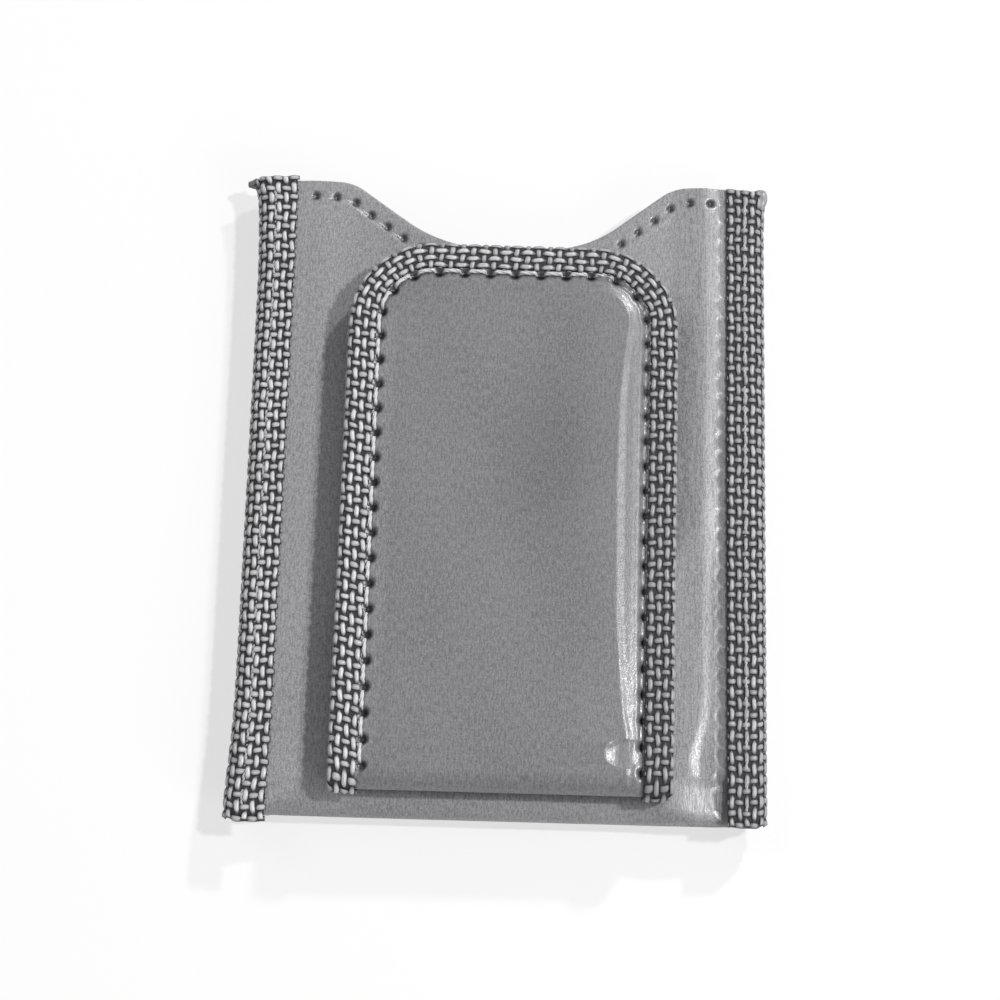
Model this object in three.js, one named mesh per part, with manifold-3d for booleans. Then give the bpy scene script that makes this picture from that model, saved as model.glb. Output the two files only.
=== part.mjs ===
// Money clip wallet: a card sleeve of woven steel textile, folded at the bottom, lined, bound with
// nylon tape down both sides and notched at the mouth for a thumb. A padded strip of the same textile,
// bound on its edges and folded double at the bottom, is sewn to the front as a magnetic money clip.
// Millimetres. X runs across the wallet, Y towards the mouth, Z out of the front, back panel at Z = 0.
import * as THREE from 'three';
import { mergeVertices } from 'three/addons/utils/BufferGeometryUtils.js';
import Module from 'manifold-3d';

// Card pocket: a stack of bank cards with a little room round it.
const CARD_WIDTH = 54;
const CARD_LENGTH = 85.6;
const CARD_THICK = 0.76;
const CARD_COUNT = 6;
const CARD_SIDE_ROOM = 0.3;
const CARD_END_ROOM = 2.4;
const POCKET_SLACK = 0.4;

// Sleeve: one sheet of textile over one sheet of lining, both folded at the bottom.
const SHELL_T = 0.55;
const LINING_T = 0.3;
const LAYER_GAP = 0.1;
const PINCH_GAP = 0.2;
const EASE_WIDTH = 4.3;
const SEAM_WIDTH = 1.7;
const LINING_SETBACK = 0.4;

// Thumb notch through both panels: sloping flanks, rounded into the mouth and into the floor.
const NOTCH_TOP_HALF = 22.2;
const NOTCH_DEPTH = 9.2;
const NOTCH_SLOPE = THREE.MathUtils.degToRad(36.4);
const NOTCH_SHOULDER_R = 6;
const NOTCH_FLOOR_R = 18;

// Tape that binds the two sides.
const SIDE_TAPE_T = 0.6;
const SIDE_TAPE_COVER = 5.2;
const SIDE_TAPE_OVERHANG = 0.8;
const SIDE_TAPE_GAP = 0.1;

// Money clip strip: its outline, layers and the gap that holds the notes.
const CLIP_WIDTH = 44.4;
const CLIP_LENGTH = 75;
const CLIP_CORNER_R = 11.5;
const CLIP_RISE = 2;
const CLIP_SEAT_GAP = 0.1;
const BILL_GAP = 1.7;
const FACE_T = 0.4;
const CLIP_LINING_T = 0.3;
const CLIP_TAPE_T = 0.55;
const CLIP_TAPE_COVER = 3.8;
const HINGE_GAP = 0.3;

// Foam pads and disc magnets inside the strip.
const PAD_T = 1;
const PAD_ROOM = 0.2;
const CROWN_INSET = 4.5;
const CROWN_RISE = 3;
const FOLD_EASE = 1;
const MAGNET_D = 10;
const MAGNET_T = 0.9;
const MAGNET_EDGE = 0.7;
const MAGNET_ROOM = 0.2;

// Sewing: thread thickness, stitch lengths and the rows' distances from the edges.
const THREAD_R = 0.2;
const THREAD_KNOT_R = 0.1;
const THREAD_GAP = 0.05;
const HEM_THREAD_R = 0.15;
const HEM_THREAD_SINK = 0.08;
const HEM_INSET = 2.3;
const HEM_GROOVE_FLOOR = 0.2;
const HEM_GROOVE_WALL = 0.7;
const HEM_PITCH = 2.8;
const SEAM_PITCH = 2.7;
const SEAM_END_ROOM = 1.2;
const CLIP_PITCH = 3.4;
const CLIP_STITCH_GAP = 0.35;

// Sizes that follow from the ones above.
const POCKET_HALF = (CARD_COUNT * CARD_THICK + POCKET_SLACK) / 2;
const LAYERS = LINING_T + LAYER_GAP + SHELL_T;
const SLEEVE_HALF = POCKET_HALF + LAYERS;
const MID_Z = SLEEVE_HALF;
const FLAT_HALF = CARD_WIDTH / 2 + CARD_SIDE_ROOM;
const PINCH_X = FLAT_HALF + EASE_WIDTH;
const SHELL_X = PINCH_X + SEAM_WIDTH;
const MOUTH_Y = (CARD_LENGTH + CARD_END_ROOM) / 2;
const SEAM_HALF = PINCH_GAP / 2 + LAYERS;
const SIDE_WRAP_R = SEAM_HALF + SIDE_TAPE_GAP + SIDE_TAPE_T;
const SIDE_EDGE_X = SHELL_X + SIDE_WRAP_R;
const CLIP_STACK_HALF = (FACE_T + LAYER_GAP + CLIP_LINING_T) / 2;
const CLIP_WRAP_R = CLIP_STACK_HALF + LAYER_GAP + CLIP_TAPE_T;
const CROWN_H = PAD_T + PAD_ROOM;
const FOLD_R = (BILL_GAP + Math.max(2 * CLIP_WRAP_R, 2 * CLIP_STACK_HALF + CROWN_H)) / 2;
const FOLD_Y = -MOUTH_Y + CLIP_RISE + FOLD_R + CLIP_WRAP_R;
const FOLD_Z = 2 * SLEEVE_HALF + CLIP_SEAT_GAP + FOLD_R + CLIP_WRAP_R;
const FOLD_S = FOLD_R * Math.PI / 2;
const CLIP_S = FOLD_S + CLIP_LENGTH - FOLD_R - CLIP_WRAP_R;
const CROWN_FOLD_S = FOLD_S + FOLD_EASE;
const MAGNET_INSET = CROWN_INSET + CROWN_RISE + MAGNET_EDGE + MAGNET_D / 2;
const MAGNET_X = CLIP_WIDTH / 2 - MAGNET_INSET;
const MAGNET_S = CLIP_S - MAGNET_INSET;
const STITCH_INSET = CLIP_TAPE_COVER + CLIP_STITCH_GAP;
const HEM_GROOVE = 2 * HEM_THREAD_R + HEM_THREAD_SINK;

// Counts of steps that the curved surfaces are cut into.
const FOLD_STEPS = 6;
const EASE_STEPS = 4;
const ROUND_STEPS = 4;
const CORNER_STEPS = 7;
const QUARTER_STEPS = 5;
const WRAP_STEPS = 6;
const RISE_STEPS = 4;

const wasm = await Module();
wasm.setup();

const finishes = {
  textile: { color: 0x8d8e90, roughness: 0.45, metalness: 0.6 },
  lining: { color: 0x3b3c3f, roughness: 0.8, metalness: 0 },
  tape: { color: 0xb4b5b7, roughness: 0.6, metalness: 0.1 },
  thread: { color: 0xc9c9c7, roughness: 0.6, metalness: 0 },
  foam: { color: 0x2c2c2e, roughness: 0.95, metalness: 0 },
  magnet: { color: 0xa9aaad, roughness: 0.3, metalness: 1 },
};

const wallet = new THREE.Group();

function addPiece(name, geometry, finish) {
  const mesh = new THREE.Mesh(geometry, new THREE.MeshStandardMaterial(finishes[finish]));
  mesh.name = name;
  wallet.add(mesh);
}

function steps(from, to, count) {
  return Array.from({ length: count + 1 }, (_, i) => from + (to - from) * i / count);
}

function smoothRamp(t) {
  const c = THREE.MathUtils.clamp(t, 0, 1);
  return c * c * (3 - 2 * c);
}

// A closed body from points and triangles, turned so that its faces point out.
function closedBody(points, triangles) {
  let volume = 0;
  const cross = new THREE.Vector3();
  for (const [a, b, c] of triangles) {
    volume += points[a].dot(cross.crossVectors(points[b], points[c]));
  }
  const outward = volume > 0 ? triangles : triangles.map(([a, b, c]) => [a, c, b]);
  const geometry = new THREE.BufferGeometry().setFromPoints(points);
  geometry.setIndex(outward.flat());
  geometry.computeVertexNormals();
  return geometry;
}

// A sheet of cloth with thickness: the same quads over an outer and an inner set of points, closed
// along every edge that only one quad uses.
function closedSheet(outer, inner, quads) {
  const under = outer.length;
  const triangles = [];
  const edges = new Map();
  for (const [a, b, c, d] of quads) {
    triangles.push([a, b, c], [a, c, d]);
    triangles.push([c + under, b + under, a + under], [d + under, c + under, a + under]);
    for (const [p, q] of [[a, b], [b, c], [c, d], [d, a]]) edges.set(`${p} ${q}`, [p, q]);
  }
  for (const [p, q] of edges.values()) {
    if (!edges.has(`${q} ${p}`)) triangles.push([q, p, p + under], [q, p + under, q + under]);
  }
  return closedBody([...outer, ...inner], triangles);
}

function gridQuads(columnCount, rowCount) {
  const quads = [];
  for (let j = 0; j + 1 < rowCount; j++) {
    for (let i = 0; i + 1 < columnCount; i++) {
      const a = j * columnCount + i;
      quads.push([a, a + 1, a + 1 + columnCount, a + columnCount]);
    }
  }
  return quads;
}

// A section carried from ring to ring, with its two ends closed. The section may be hollowed like a U.
function loft(rings, section) {
  const count = section.length;
  const last = (rings.length - 1) * count;
  const triangles = [];
  for (let r = 0; r + 1 < rings.length; r++) {
    for (let k = 0; k < count; k++) {
      const a = r * count + k;
      const b = r * count + (k + 1) % count;
      triangles.push([a, b, b + count], [a, b + count, a + count]);
    }
  }
  const ends = THREE.ShapeUtils.triangulateShape(section, []);
  const turned = THREE.ShapeUtils.isClockWise(section) ? 1 : -1;
  for (const [a, b, c] of ends) {
    const near = turned > 0 ? [a, b, c] : [c, b, a];
    triangles.push(near, near.map((k) => k + last).reverse());
  }
  return closedBody(rings.flat(), triangles);
}

// The U section of a binding tape: two flat legs and a round back, as distance in from the edge and
// height. legHeight bends the legs to the layers that they hold.
function tapeSection(wrapR, tapeT, legs, legHeight) {
  const outside = [];
  const inside = [];
  for (const depth of legs) {
    const rise = legHeight(depth);
    outside.push(new THREE.Vector2(depth, rise + wrapR));
    inside.push(new THREE.Vector2(depth, rise + wrapR - tapeT));
  }
  const back = (r) => steps(0, Math.PI, WRAP_STEPS)
    .map((a) => new THREE.Vector2(wrapR - r * Math.sin(a), r * Math.cos(a)));
  const mirrored = (row) => row.map((p) => new THREE.Vector2(p.x, -p.y)).reverse();
  return [
    ...outside, ...back(wrapR), ...mirrored(outside),
    ...[...mirrored(inside)].reverse(), ...back(wrapR - tapeT).reverse(), ...[...inside].reverse(),
  ];
}

// A row of stitches as one unbroken thread: it swells along each stitch and narrows at each needle hole.
// place(t, height) gives a point at t along the seam, height above the cloth, with its side and up.
function stitchRow(count, radius, sides, place) {
  const angles = steps(0, 2 * Math.PI, sides).slice(0, sides);
  const section = angles.map((a) => new THREE.Vector2(Math.cos(a), Math.sin(a)));
  const rings = [];
  for (let k = 0; k <= 2 * count; k++) {
    const r = k % 2 === 0 ? THREAD_KNOT_R : radius;
    const { centre, side, up } = place(k / (2 * count), THREAD_GAP + r);
    rings.push(section.map((c) => centre.clone().addScaledVector(side, r * c.x).addScaledVector(up, r * c.y)));
  }
  return loft(rings, section);
}

function cut(body, ...tools) {
  const solid = (geometry) => {
    const bare = geometry.clone();
    bare.deleteAttribute('normal');
    bare.deleteAttribute('uv');
    const merged = mergeVertices(bare, 1e-4);
    const mesh = new wasm.Mesh({
      numProp: 3,
      vertProperties: new Float32Array(merged.attributes.position.array),
      triVerts: new Uint32Array(merged.index.array),
    });
    return new wasm.Manifold(mesh);
  };
  const left = tools.reduce((rest, tool) => rest.subtract(solid(tool)), solid(body)).getMesh();
  const geometry = new THREE.BufferGeometry();
  geometry.setAttribute('position', new THREE.BufferAttribute(new Float32Array(left.vertProperties), 3));
  geometry.setIndex(Array.from(left.triVerts));
  geometry.computeVertexNormals();
  return geometry;
}

// Half of the gap inside the pocket: full over the cards, eased down to a pinch under the side seams.
function pocketHalf(x) {
  const t = THREE.MathUtils.clamp((Math.abs(x) - FLAT_HALF) / EASE_WIDTH, 0, 1);
  return THREE.MathUtils.lerp(POCKET_HALF, PINCH_GAP / 2, (1 - Math.cos(Math.PI * t)) / 2);
}

// Depth of the thumb notch at x, and the places where its flank meets the two rounds.
const notchFloorHalf = NOTCH_TOP_HALF - NOTCH_DEPTH / Math.tan(NOTCH_SLOPE);
const shoulderRun = NOTCH_SHOULDER_R * Math.tan(NOTCH_SLOPE / 2);
const floorRun = NOTCH_FLOOR_R * Math.tan(NOTCH_SLOPE / 2);
const shoulderOut = NOTCH_TOP_HALF + shoulderRun;
const shoulderIn = NOTCH_TOP_HALF - shoulderRun * Math.cos(NOTCH_SLOPE);
const floorOut = notchFloorHalf + floorRun * Math.cos(NOTCH_SLOPE);
const floorIn = notchFloorHalf - floorRun;

function notchDepth(x) {
  const a = Math.abs(x);
  if (a >= shoulderOut) return 0;
  if (a >= shoulderIn) return NOTCH_SHOULDER_R - Math.sqrt(NOTCH_SHOULDER_R ** 2 - (shoulderOut - a) ** 2);
  if (a >= floorOut) return (NOTCH_TOP_HALF - a) * Math.tan(NOTCH_SLOPE);
  if (a <= floorIn) return NOTCH_DEPTH;
  return NOTCH_DEPTH - NOTCH_FLOOR_R + Math.sqrt(NOTCH_FLOOR_R ** 2 - (a - floorIn) ** 2);
}

// A line that keeps its distance from the mouth's edge, also along the notch's flanks.
function belowMouth(x, inset) {
  const step = 0.01;
  const slope = (notchDepth(x + step) - notchDepth(x - step)) / (2 * step);
  return MOUTH_Y - notchDepth(x) - inset * Math.hypot(1, slope);
}

// A point of a folded layer at a distance r from the pocket's middle. v gives the stretch and the place
// in it: the back panel from the mouth down, the bottom fold, and the front panel up to the mouth.
function foldedPoint(x, r, v) {
  const foldY = -MOUTH_Y + pocketHalf(x) + LAYERS;
  if (v.turn !== undefined) {
    return new THREE.Vector3(x, foldY - r * Math.sin(v.turn), MID_Z - r * Math.cos(v.turn));
  }
  return new THREE.Vector3(x, belowMouth(x, v.inset), MID_Z + v.side * r);
}

// Columns of the folded layers: close together where the mouth or the side curves.
const rightColumns = [
  ...steps(floorIn, floorOut, ROUND_STEPS),
  (floorOut + shoulderIn) / 2,
  ...steps(shoulderIn, shoulderOut, ROUND_STEPS),
  ...steps(FLAT_HALF, PINCH_X, EASE_STEPS),
  SHELL_X,
].sort((a, b) => a - b);
const columns = [...rightColumns.map((x) => -x).reverse(), 0, ...rightColumns];
const foldTurns = steps(0, Math.PI, FOLD_STEPS).map((turn) => ({ turn }));

// A folded layer: rows at insets below the mouth on the back, round the fold, and the same on the front.
function foldedLayer(insets, outer, inner) {
  const rows = [
    ...insets.map((inset) => ({ side: -1, inset })),
    ...foldTurns,
    ...[...insets].reverse().map((inset) => ({ side: 1, inset })),
  ];
  const surface = (height) => rows.flatMap((v) => columns.map((x) => foldedPoint(x, height(x, v), v)));
  return closedSheet(surface(outer), surface(inner), gridQuads(columns.length, rows.length));
}

// Outer sheet of the sleeve, with the shallow groove that the hem stitches draw into it.
const grooveFloor = [HEM_INSET - HEM_GROOVE_FLOOR, HEM_INSET + HEM_GROOVE_FLOOR];
const hemRows = [0, grooveFloor[0] - HEM_GROOVE_WALL, ...grooveFloor, grooveFloor[1] + HEM_GROOVE_WALL];
const shellOuter = (x, v) => {
  const drawn = grooveFloor.includes(v.inset) ? HEM_GROOVE : 0;
  return pocketHalf(x) + LAYERS - drawn;
};
const shellInner = (x) => pocketHalf(x) + LINING_T + LAYER_GAP;
addPiece('sleeve_shell', foldedLayer(hemRows, shellOuter, shellInner), 'textile');

// Lining, a little shorter than the shell at the mouth.
const liningOuter = (x) => pocketHalf(x) + LINING_T;
addPiece('sleeve_lining', foldedLayer([LINING_SETBACK], liningOuter, pocketHalf), 'lining');

// Side bindings: tape folded round the side edges of the layers, cut square a little past both ends.
const easeLegs = steps(FLAT_HALF, PINCH_X, EASE_STEPS)
  .map((x) => SIDE_EDGE_X - x)
  .filter((depth) => depth < SIDE_TAPE_COVER);
const sideSection = tapeSection(
  SIDE_WRAP_R,
  SIDE_TAPE_T,
  [SIDE_TAPE_COVER, ...easeLegs],
  (depth) => pocketHalf(SIDE_EDGE_X - depth) - PINCH_GAP / 2,
);
const sideTapeY = MOUTH_Y + SIDE_TAPE_OVERHANG;
const seamX = PINCH_X + SEAM_WIDTH / 2;
const seamY = MOUTH_Y - SEAM_END_ROOM;
const seamStitches = Math.round(2 * seamY / SEAM_PITCH);
for (const [name, hand] of [['left', -1], ['right', 1]]) {
  const ring = (y) => sideSection.map((p) => new THREE.Vector3(hand * (SIDE_EDGE_X - p.x), y, MID_Z + p.y));
  addPiece(`${name}_side_binding`, loft([ring(-sideTapeY), ring(sideTapeY)], sideSection), 'tape');
  for (const [thread, face, sides] of [['needle', 1, 4], ['bobbin', -1, 3]]) {
    const place = (t, height) => ({
      centre: new THREE.Vector3(
        hand * seamX, THREE.MathUtils.lerp(-seamY, seamY, t), MID_Z + face * (SIDE_WRAP_R + height),
      ),
      side: new THREE.Vector3(1, 0, 0),
      up: new THREE.Vector3(0, 0, face),
    });
    addPiece(`${name}_seam_${thread}_thread`, stitchRow(seamStitches, THREAD_R, sides, place), 'thread');
  }
}

// Hem stitches along the mouth and the notch: needle thread in the shell's groove, bobbin thread on the
// lining inside the pocket. The row is measured along its curve so that the stitches keep one length.
const hemLine = steps(-FLAT_HALF, FLAT_HALF, 400).map((x) => new THREE.Vector2(x, belowMouth(x, HEM_INSET)));
const hemRun = [0];
for (let k = 1; k < hemLine.length; k++) hemRun.push(hemRun[k - 1] + hemLine[k].distanceTo(hemLine[k - 1]));
const hemStitches = Math.round(hemRun.at(-1) / HEM_PITCH);

function hemPoint(t) {
  const target = t * hemRun.at(-1);
  const k = Math.max(1, hemRun.findIndex((run) => run >= target - 1e-9));
  const part = (target - hemRun[k - 1]) / (hemRun[k] - hemRun[k - 1]);
  const along = hemLine[k].clone().sub(hemLine[k - 1]).normalize();
  return { at: hemLine[k - 1].clone().lerp(hemLine[k], part), across: new THREE.Vector2(-along.y, along.x) };
}

for (const [panel, face] of [['front', 1], ['back', -1]]) {
  const outside = SLEEVE_HALF - HEM_GROOVE;
  const inside = POCKET_HALF;
  for (const [thread, surface, up, sides] of [['needle', outside, face, 4], ['bobbin', inside, -face, 3]]) {
    const place = (t, height) => {
      const { at, across } = hemPoint(t);
      return {
        centre: new THREE.Vector3(at.x, at.y, MID_Z + face * surface + up * height),
        side: new THREE.Vector3(across.x, across.y, 0),
        up: new THREE.Vector3(0, 0, up),
      };
    };
    addPiece(`${panel}_mouth_${thread}_thread`, stitchRow(hemStitches, HEM_THREAD_R, sides, place), 'thread');
  }
}

// The money clip. A point of the strip lies at x across it, s along it from the apex of its fold, and
// n out from its middle. leaf is 1 on the flap and -1 on the base leaf, which mirrors it below the fold.
function stripPoint(x, s, n, leaf) {
  const r = FOLD_R + n;
  if (s >= FOLD_S) return new THREE.Vector3(x, FOLD_Y + s - FOLD_S, FOLD_Z + leaf * r);
  const turn = s / FOLD_R;
  return new THREE.Vector3(x, FOLD_Y - r * Math.cos(turn), FOLD_Z + leaf * r * Math.sin(turn));
}

// Distance of a point of the strip from its outline: two sides and an end with round corners.
function edgeDistance(x, s) {
  const cornerX = Math.abs(x) - (CLIP_WIDTH / 2 - CLIP_CORNER_R);
  const cornerS = s - (CLIP_S - CLIP_CORNER_R);
  if (cornerX > 0 && cornerS > 0) return CLIP_CORNER_R - Math.hypot(cornerX, cornerS);
  return Math.min(CLIP_WIDTH / 2 - Math.abs(x), CLIP_S - s);
}

// Swell of the padded layer: down at the stitches and at the fold, full over the pad.
function crown(x, s) {
  const fromEdge = (edgeDistance(x, s) - CROWN_INSET) / CROWN_RISE;
  const fromFold = (s - CROWN_FOLD_S) / CROWN_RISE;
  return CROWN_H * smoothRamp(Math.min(fromEdge, fromFold));
}

// The strip's outline drawn in by an inset, from the fold up one side, over the end and down the other.
// It gives the place at t, from 0 to 1, and the way in from the edge.
function outlinePath(inset, fromS) {
  const r = CLIP_CORNER_R - inset;
  const cornerX = CLIP_WIDTH / 2 - CLIP_CORNER_R;
  const cornerS = CLIP_S - CLIP_CORNER_R;
  const lengths = [cornerS - fromS, r * Math.PI / 2, 2 * cornerX, r * Math.PI / 2, cornerS - fromS];
  const total = lengths.reduce((sum, length) => sum + length);
  const sidePoint = (run, hand) => ({ x: hand * (cornerX + r), s: run, inX: -hand, inS: 0 });
  const cornerPoint = (a, hand) => ({
    x: hand * (cornerX + r * Math.cos(a)), s: cornerS + r * Math.sin(a),
    inX: -hand * Math.cos(a), inS: -Math.sin(a),
  });
  const place = (t) => {
    let run = t * total;
    if (run <= lengths[0]) return sidePoint(fromS + run, -1);
    run -= lengths[0];
    if (run <= lengths[1]) return cornerPoint(run / r, -1);
    run -= lengths[1];
    if (run <= lengths[2]) return { x: run - cornerX, s: cornerS + r, inX: 0, inS: -1 };
    run -= lengths[2];
    if (run <= lengths[3]) return cornerPoint(Math.PI / 2 - run / r, 1);
    return sidePoint(cornerS - (run - lengths[3]), 1);
  };
  const corner = (hand) => steps(0, Math.PI / 2, CORNER_STEPS).map((a) => cornerPoint(a, hand));
  return { total, place, sidePoint, corner };
}

// A layer of the strip as a sheet between two heights. Its columns run parallel to the outline at the
// given insets, its rows cross the strip at the places given on the left edge and at their mirror images,
// and the end between the two corners is closed by a row of its own.
function stripLayer(insets, leftPlaces, leaf, outerHeight, innerHeight) {
  const spots = leftPlaces.flatMap(({ x, s, inX, inS }) => {
    const left = insets.map((inset) => ({ x: x + inset * inX, s: s + inset * inS }));
    const right = left.map((spot) => ({ x: -spot.x, s: spot.s })).reverse();
    return [...left, ...right];
  });
  const columnCount = 2 * insets.length;
  const quads = gridQuads(columnCount, leftPlaces.length);
  const end = spots.length - columnCount;
  for (let k = 0; k + 1 < insets.length; k++) {
    quads.push([end + k, end + k + 1, end + columnCount - 2 - k, end + columnCount - 1 - k]);
  }
  const surface = (height) => spots.map(({ x, s }) => stripPoint(x, s, height(x, s), leaf));
  return closedSheet(surface(outerHeight), surface(innerHeight), quads);
}

const edgePath = outlinePath(0, HINGE_GAP / 2);
const leftSide = (rows) => rows.map((s) => edgePath.sidePoint(s, -1));
const leftCorner = edgePath.corner(-1);
const quarterRows = steps(HINGE_GAP / 2, FOLD_S, QUARTER_STEPS);
const riseInsets = steps(CROWN_INSET, CROWN_INSET + CROWN_RISE, RISE_STEPS);
const riseRows = steps(CROWN_FOLD_S, CROWN_FOLD_S + CROWN_RISE, RISE_STEPS);
const flatGrid = [[CLIP_WRAP_R], [...leftSide(quarterRows), ...leftCorner]];
const crownGrid = [[CLIP_WRAP_R, ...riseInsets], [...leftSide([...quarterRows, ...riseRows]), ...leftCorner]];
const padGrid = [riseInsets.slice(RISE_STEPS / 2), [...leftSide(riseRows.slice(RISE_STEPS / 2)), ...leftCorner]];

// Places of the layers about the strip's middle.
const liningBottom = -CLIP_STACK_HALF;
const liningTop = liningBottom + CLIP_LINING_T;
const faceBottom = liningTop + LAYER_GAP;
const faceTop = faceBottom + FACE_T;

// Tape round the strip's edges, as one U section carried along the outline and round the fold.
const clipSection = tapeSection(CLIP_WRAP_R, CLIP_TAPE_T, [CLIP_TAPE_COVER], () => 0);
const edgePlaces = [
  ...leftSide(quarterRows),
  ...leftCorner,
  ...[...edgePath.corner(1)].reverse(),
  ...[...quarterRows].reverse().map((s) => edgePath.sidePoint(s, 1)),
];

const stitchPath = outlinePath(STITCH_INSET, FOLD_S + THREAD_R);
const clipStitches = Math.round(stitchPath.total / CLIP_PITCH);

// The pad lies on the flat layer, which is the lining in the flap and the face in the base leaf.
function padFloor(crowned) {
  return crowned > 0 ? liningTop + PAD_ROOM / 2 : faceBottom - PAD_ROOM / 2;
}

// Magnets in the middle of the pad's thickness, and the through pockets that hold them.
function disc(radius, height, x, leaf, crowned) {
  const body = new THREE.CylinderGeometry(radius, radius, height, 24);
  body.rotateX(Math.PI / 2);
  const middle = stripPoint(x, MAGNET_S, padFloor(crowned) + crowned * PAD_T / 2, leaf);
  body.translate(middle.x, middle.y, middle.z);
  return body;
}

// One leaf of the clip. crowned is 1 where the outer face swells, as on the flap, and -1 where the
// inner lining does, as on the base leaf, whose flat face lies against the sleeve.
function addLeaf(name, leaf, crowned) {
  const flat = () => 0;
  const swollen = (height, swell) => (x, s) => height + swell(x, s);
  const faceSwell = crowned > 0 ? crown : flat;
  const liningSwell = crowned > 0 ? flat : (x, s) => -crown(x, s);
  const [faceGrid, liningGrid] = crowned > 0 ? [crownGrid, flatGrid] : [flatGrid, crownGrid];
  const face = stripLayer(...faceGrid, leaf, swollen(faceTop, faceSwell), swollen(faceBottom, faceSwell));
  addPiece(`${name}_face`, face, 'textile');
  const lining = stripLayer(
    ...liningGrid, leaf, swollen(liningTop, liningSwell), swollen(liningBottom, liningSwell),
  );
  addPiece(`${name}_lining`, lining, 'textile');

  const padTop = (x, s) => padFloor(crowned) + crowned * (crown(x, s) - PAD_ROOM);
  const padBottom = () => padFloor(crowned);
  const pad = stripLayer(...padGrid, leaf, padTop, padBottom);
  const pockets = [-MAGNET_X, MAGNET_X].map((x) => disc(MAGNET_D / 2 + MAGNET_ROOM, 3 * PAD_T, x, leaf, crowned));
  addPiece(`${name}_pad`, cut(pad, ...pockets), 'foam');
  addPiece(`${name}_magnet_left`, disc(MAGNET_D / 2, MAGNET_T, -MAGNET_X, leaf, crowned), 'magnet');
  addPiece(`${name}_magnet_right`, disc(MAGNET_D / 2, MAGNET_T, MAGNET_X, leaf, crowned), 'magnet');

  const rings = edgePlaces.map((edge) => clipSection.map(
    (p) => stripPoint(edge.x + p.x * edge.inX, edge.s + p.x * edge.inS, p.y, leaf),
  ));
  addPiece(`${name}_binding`, loft(rings, clipSection), 'tape');
}

// A stitch row along the strip's outline, on a cloth surface at height z that faces up or down.
function addClipThread(name, z, up, sides) {
  const place = (t, height) => {
    const { x, s, inX, inS } = stitchPath.place(t);
    return {
      centre: stripPoint(x, s, 0, 1).setZ(z + up * height),
      side: new THREE.Vector3(inX, inS, 0),
      up: new THREE.Vector3(0, 0, up),
    };
  };
  addPiece(name, stitchRow(clipStitches, THREAD_R, sides, place), 'thread');
}

// The base leaf is sewn through the front panel, so its bobbin thread lies inside the pocket.
addLeaf('base', -1, -1);
addClipThread('base_needle_thread', FOLD_Z - FOLD_R - liningBottom, 1, 4);
addClipThread('base_bobbin_thread', MID_Z + POCKET_HALF, -1, 3);

addLeaf('flap', 1, 1);
addClipThread('flap_needle_thread', FOLD_Z + FOLD_R + faceTop, 1, 4);
addClipThread('flap_bobbin_thread', FOLD_Z + FOLD_R + liningBottom, -1, 3);

export default wallet;
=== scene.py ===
import bpy
import numpy as np
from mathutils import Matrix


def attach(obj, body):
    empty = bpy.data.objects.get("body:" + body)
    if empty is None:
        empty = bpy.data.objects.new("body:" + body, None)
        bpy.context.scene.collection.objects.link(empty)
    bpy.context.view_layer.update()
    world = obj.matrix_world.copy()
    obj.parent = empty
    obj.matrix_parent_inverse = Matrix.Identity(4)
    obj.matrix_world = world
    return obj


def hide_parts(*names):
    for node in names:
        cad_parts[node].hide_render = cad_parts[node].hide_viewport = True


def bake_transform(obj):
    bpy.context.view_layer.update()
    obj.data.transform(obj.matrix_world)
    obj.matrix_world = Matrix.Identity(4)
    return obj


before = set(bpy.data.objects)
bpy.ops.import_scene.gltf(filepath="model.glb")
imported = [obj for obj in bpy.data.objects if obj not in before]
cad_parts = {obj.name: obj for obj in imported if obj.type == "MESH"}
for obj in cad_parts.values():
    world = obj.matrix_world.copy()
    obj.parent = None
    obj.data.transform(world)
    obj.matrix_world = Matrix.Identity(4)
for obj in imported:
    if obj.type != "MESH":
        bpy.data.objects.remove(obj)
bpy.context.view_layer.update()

# Sleeve shell: one sheet of woven steel textile, folded at the bottom into a front and a back panel. The
# thumb notch is cut through both, and the mouth is turned in and hemmed with a row of needle holes that
# pull small dimples into the cloth. Down the sides the panels are drawn together and sewn into the tapes.
MM = 0.001
MOUTH_Y = 44.0
SHELL_X = 33.3
SHELL_T = 0.55
LINING_T = 0.3
LAYER_GAP = 0.1
LAYERS = LINING_T + LAYER_GAP + SHELL_T
POCKET_HALF = 2.48
PINCH_HALF = 0.1
SLEEVE_HALF = POCKET_HALF + LAYERS
CARD_ROOM_HALF = 27.3
EASE_WIDTH = 4.3
NOTCH_TOP_HALF = 22.2
NOTCH_DEPTH = 9.2
NOTCH_SLOPE = np.radians(36.4)
NOTCH_SHOULDER_R = 6.0
NOTCH_FLOOR_R = 18.0
HEM_INSET = 2.3
HEM_PITCH = 2.8
HEM_BAND = 4.0
HEM_HOLE_R = 0.82
HEM_NEEDLE_R = 0.44
HEM_NEEDLE_DEPTH = 0.42
# Painted shade: the dark tone that needle holes and the seam pockets are painted towards. The clip face's
# darker patch is mixed a little towards it too.
PAINTED_SHADE_TONE = 0.012
THREAD_BELOW = 0.28
SEAM_PITCH = 2.7
PANEL_DISH = 0.25
SEAM_SWELL = 0.40
EDGE_ROUND = 0.28
SIDE_TAPE_T = 0.6
TAPE_INNER_X = 29.85
TAPE_TURN_X = 33.0
TAPE_TURN_Z = 3.45
LEFT_EDGE_Z = 3.81
RIGHT_EDGE_Z = 3.73


def smooth_step(t):
    """0 below 0, 1 above 1, and three t squared less two t cubed between them."""
    t = np.clip(t, 0, 1)
    return t * t * (3 - 2 * t)


def bell(distance, width):
    """A bell curve: e to the minus square of distance over width."""
    return np.exp(-(distance / width) ** 2)


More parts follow.
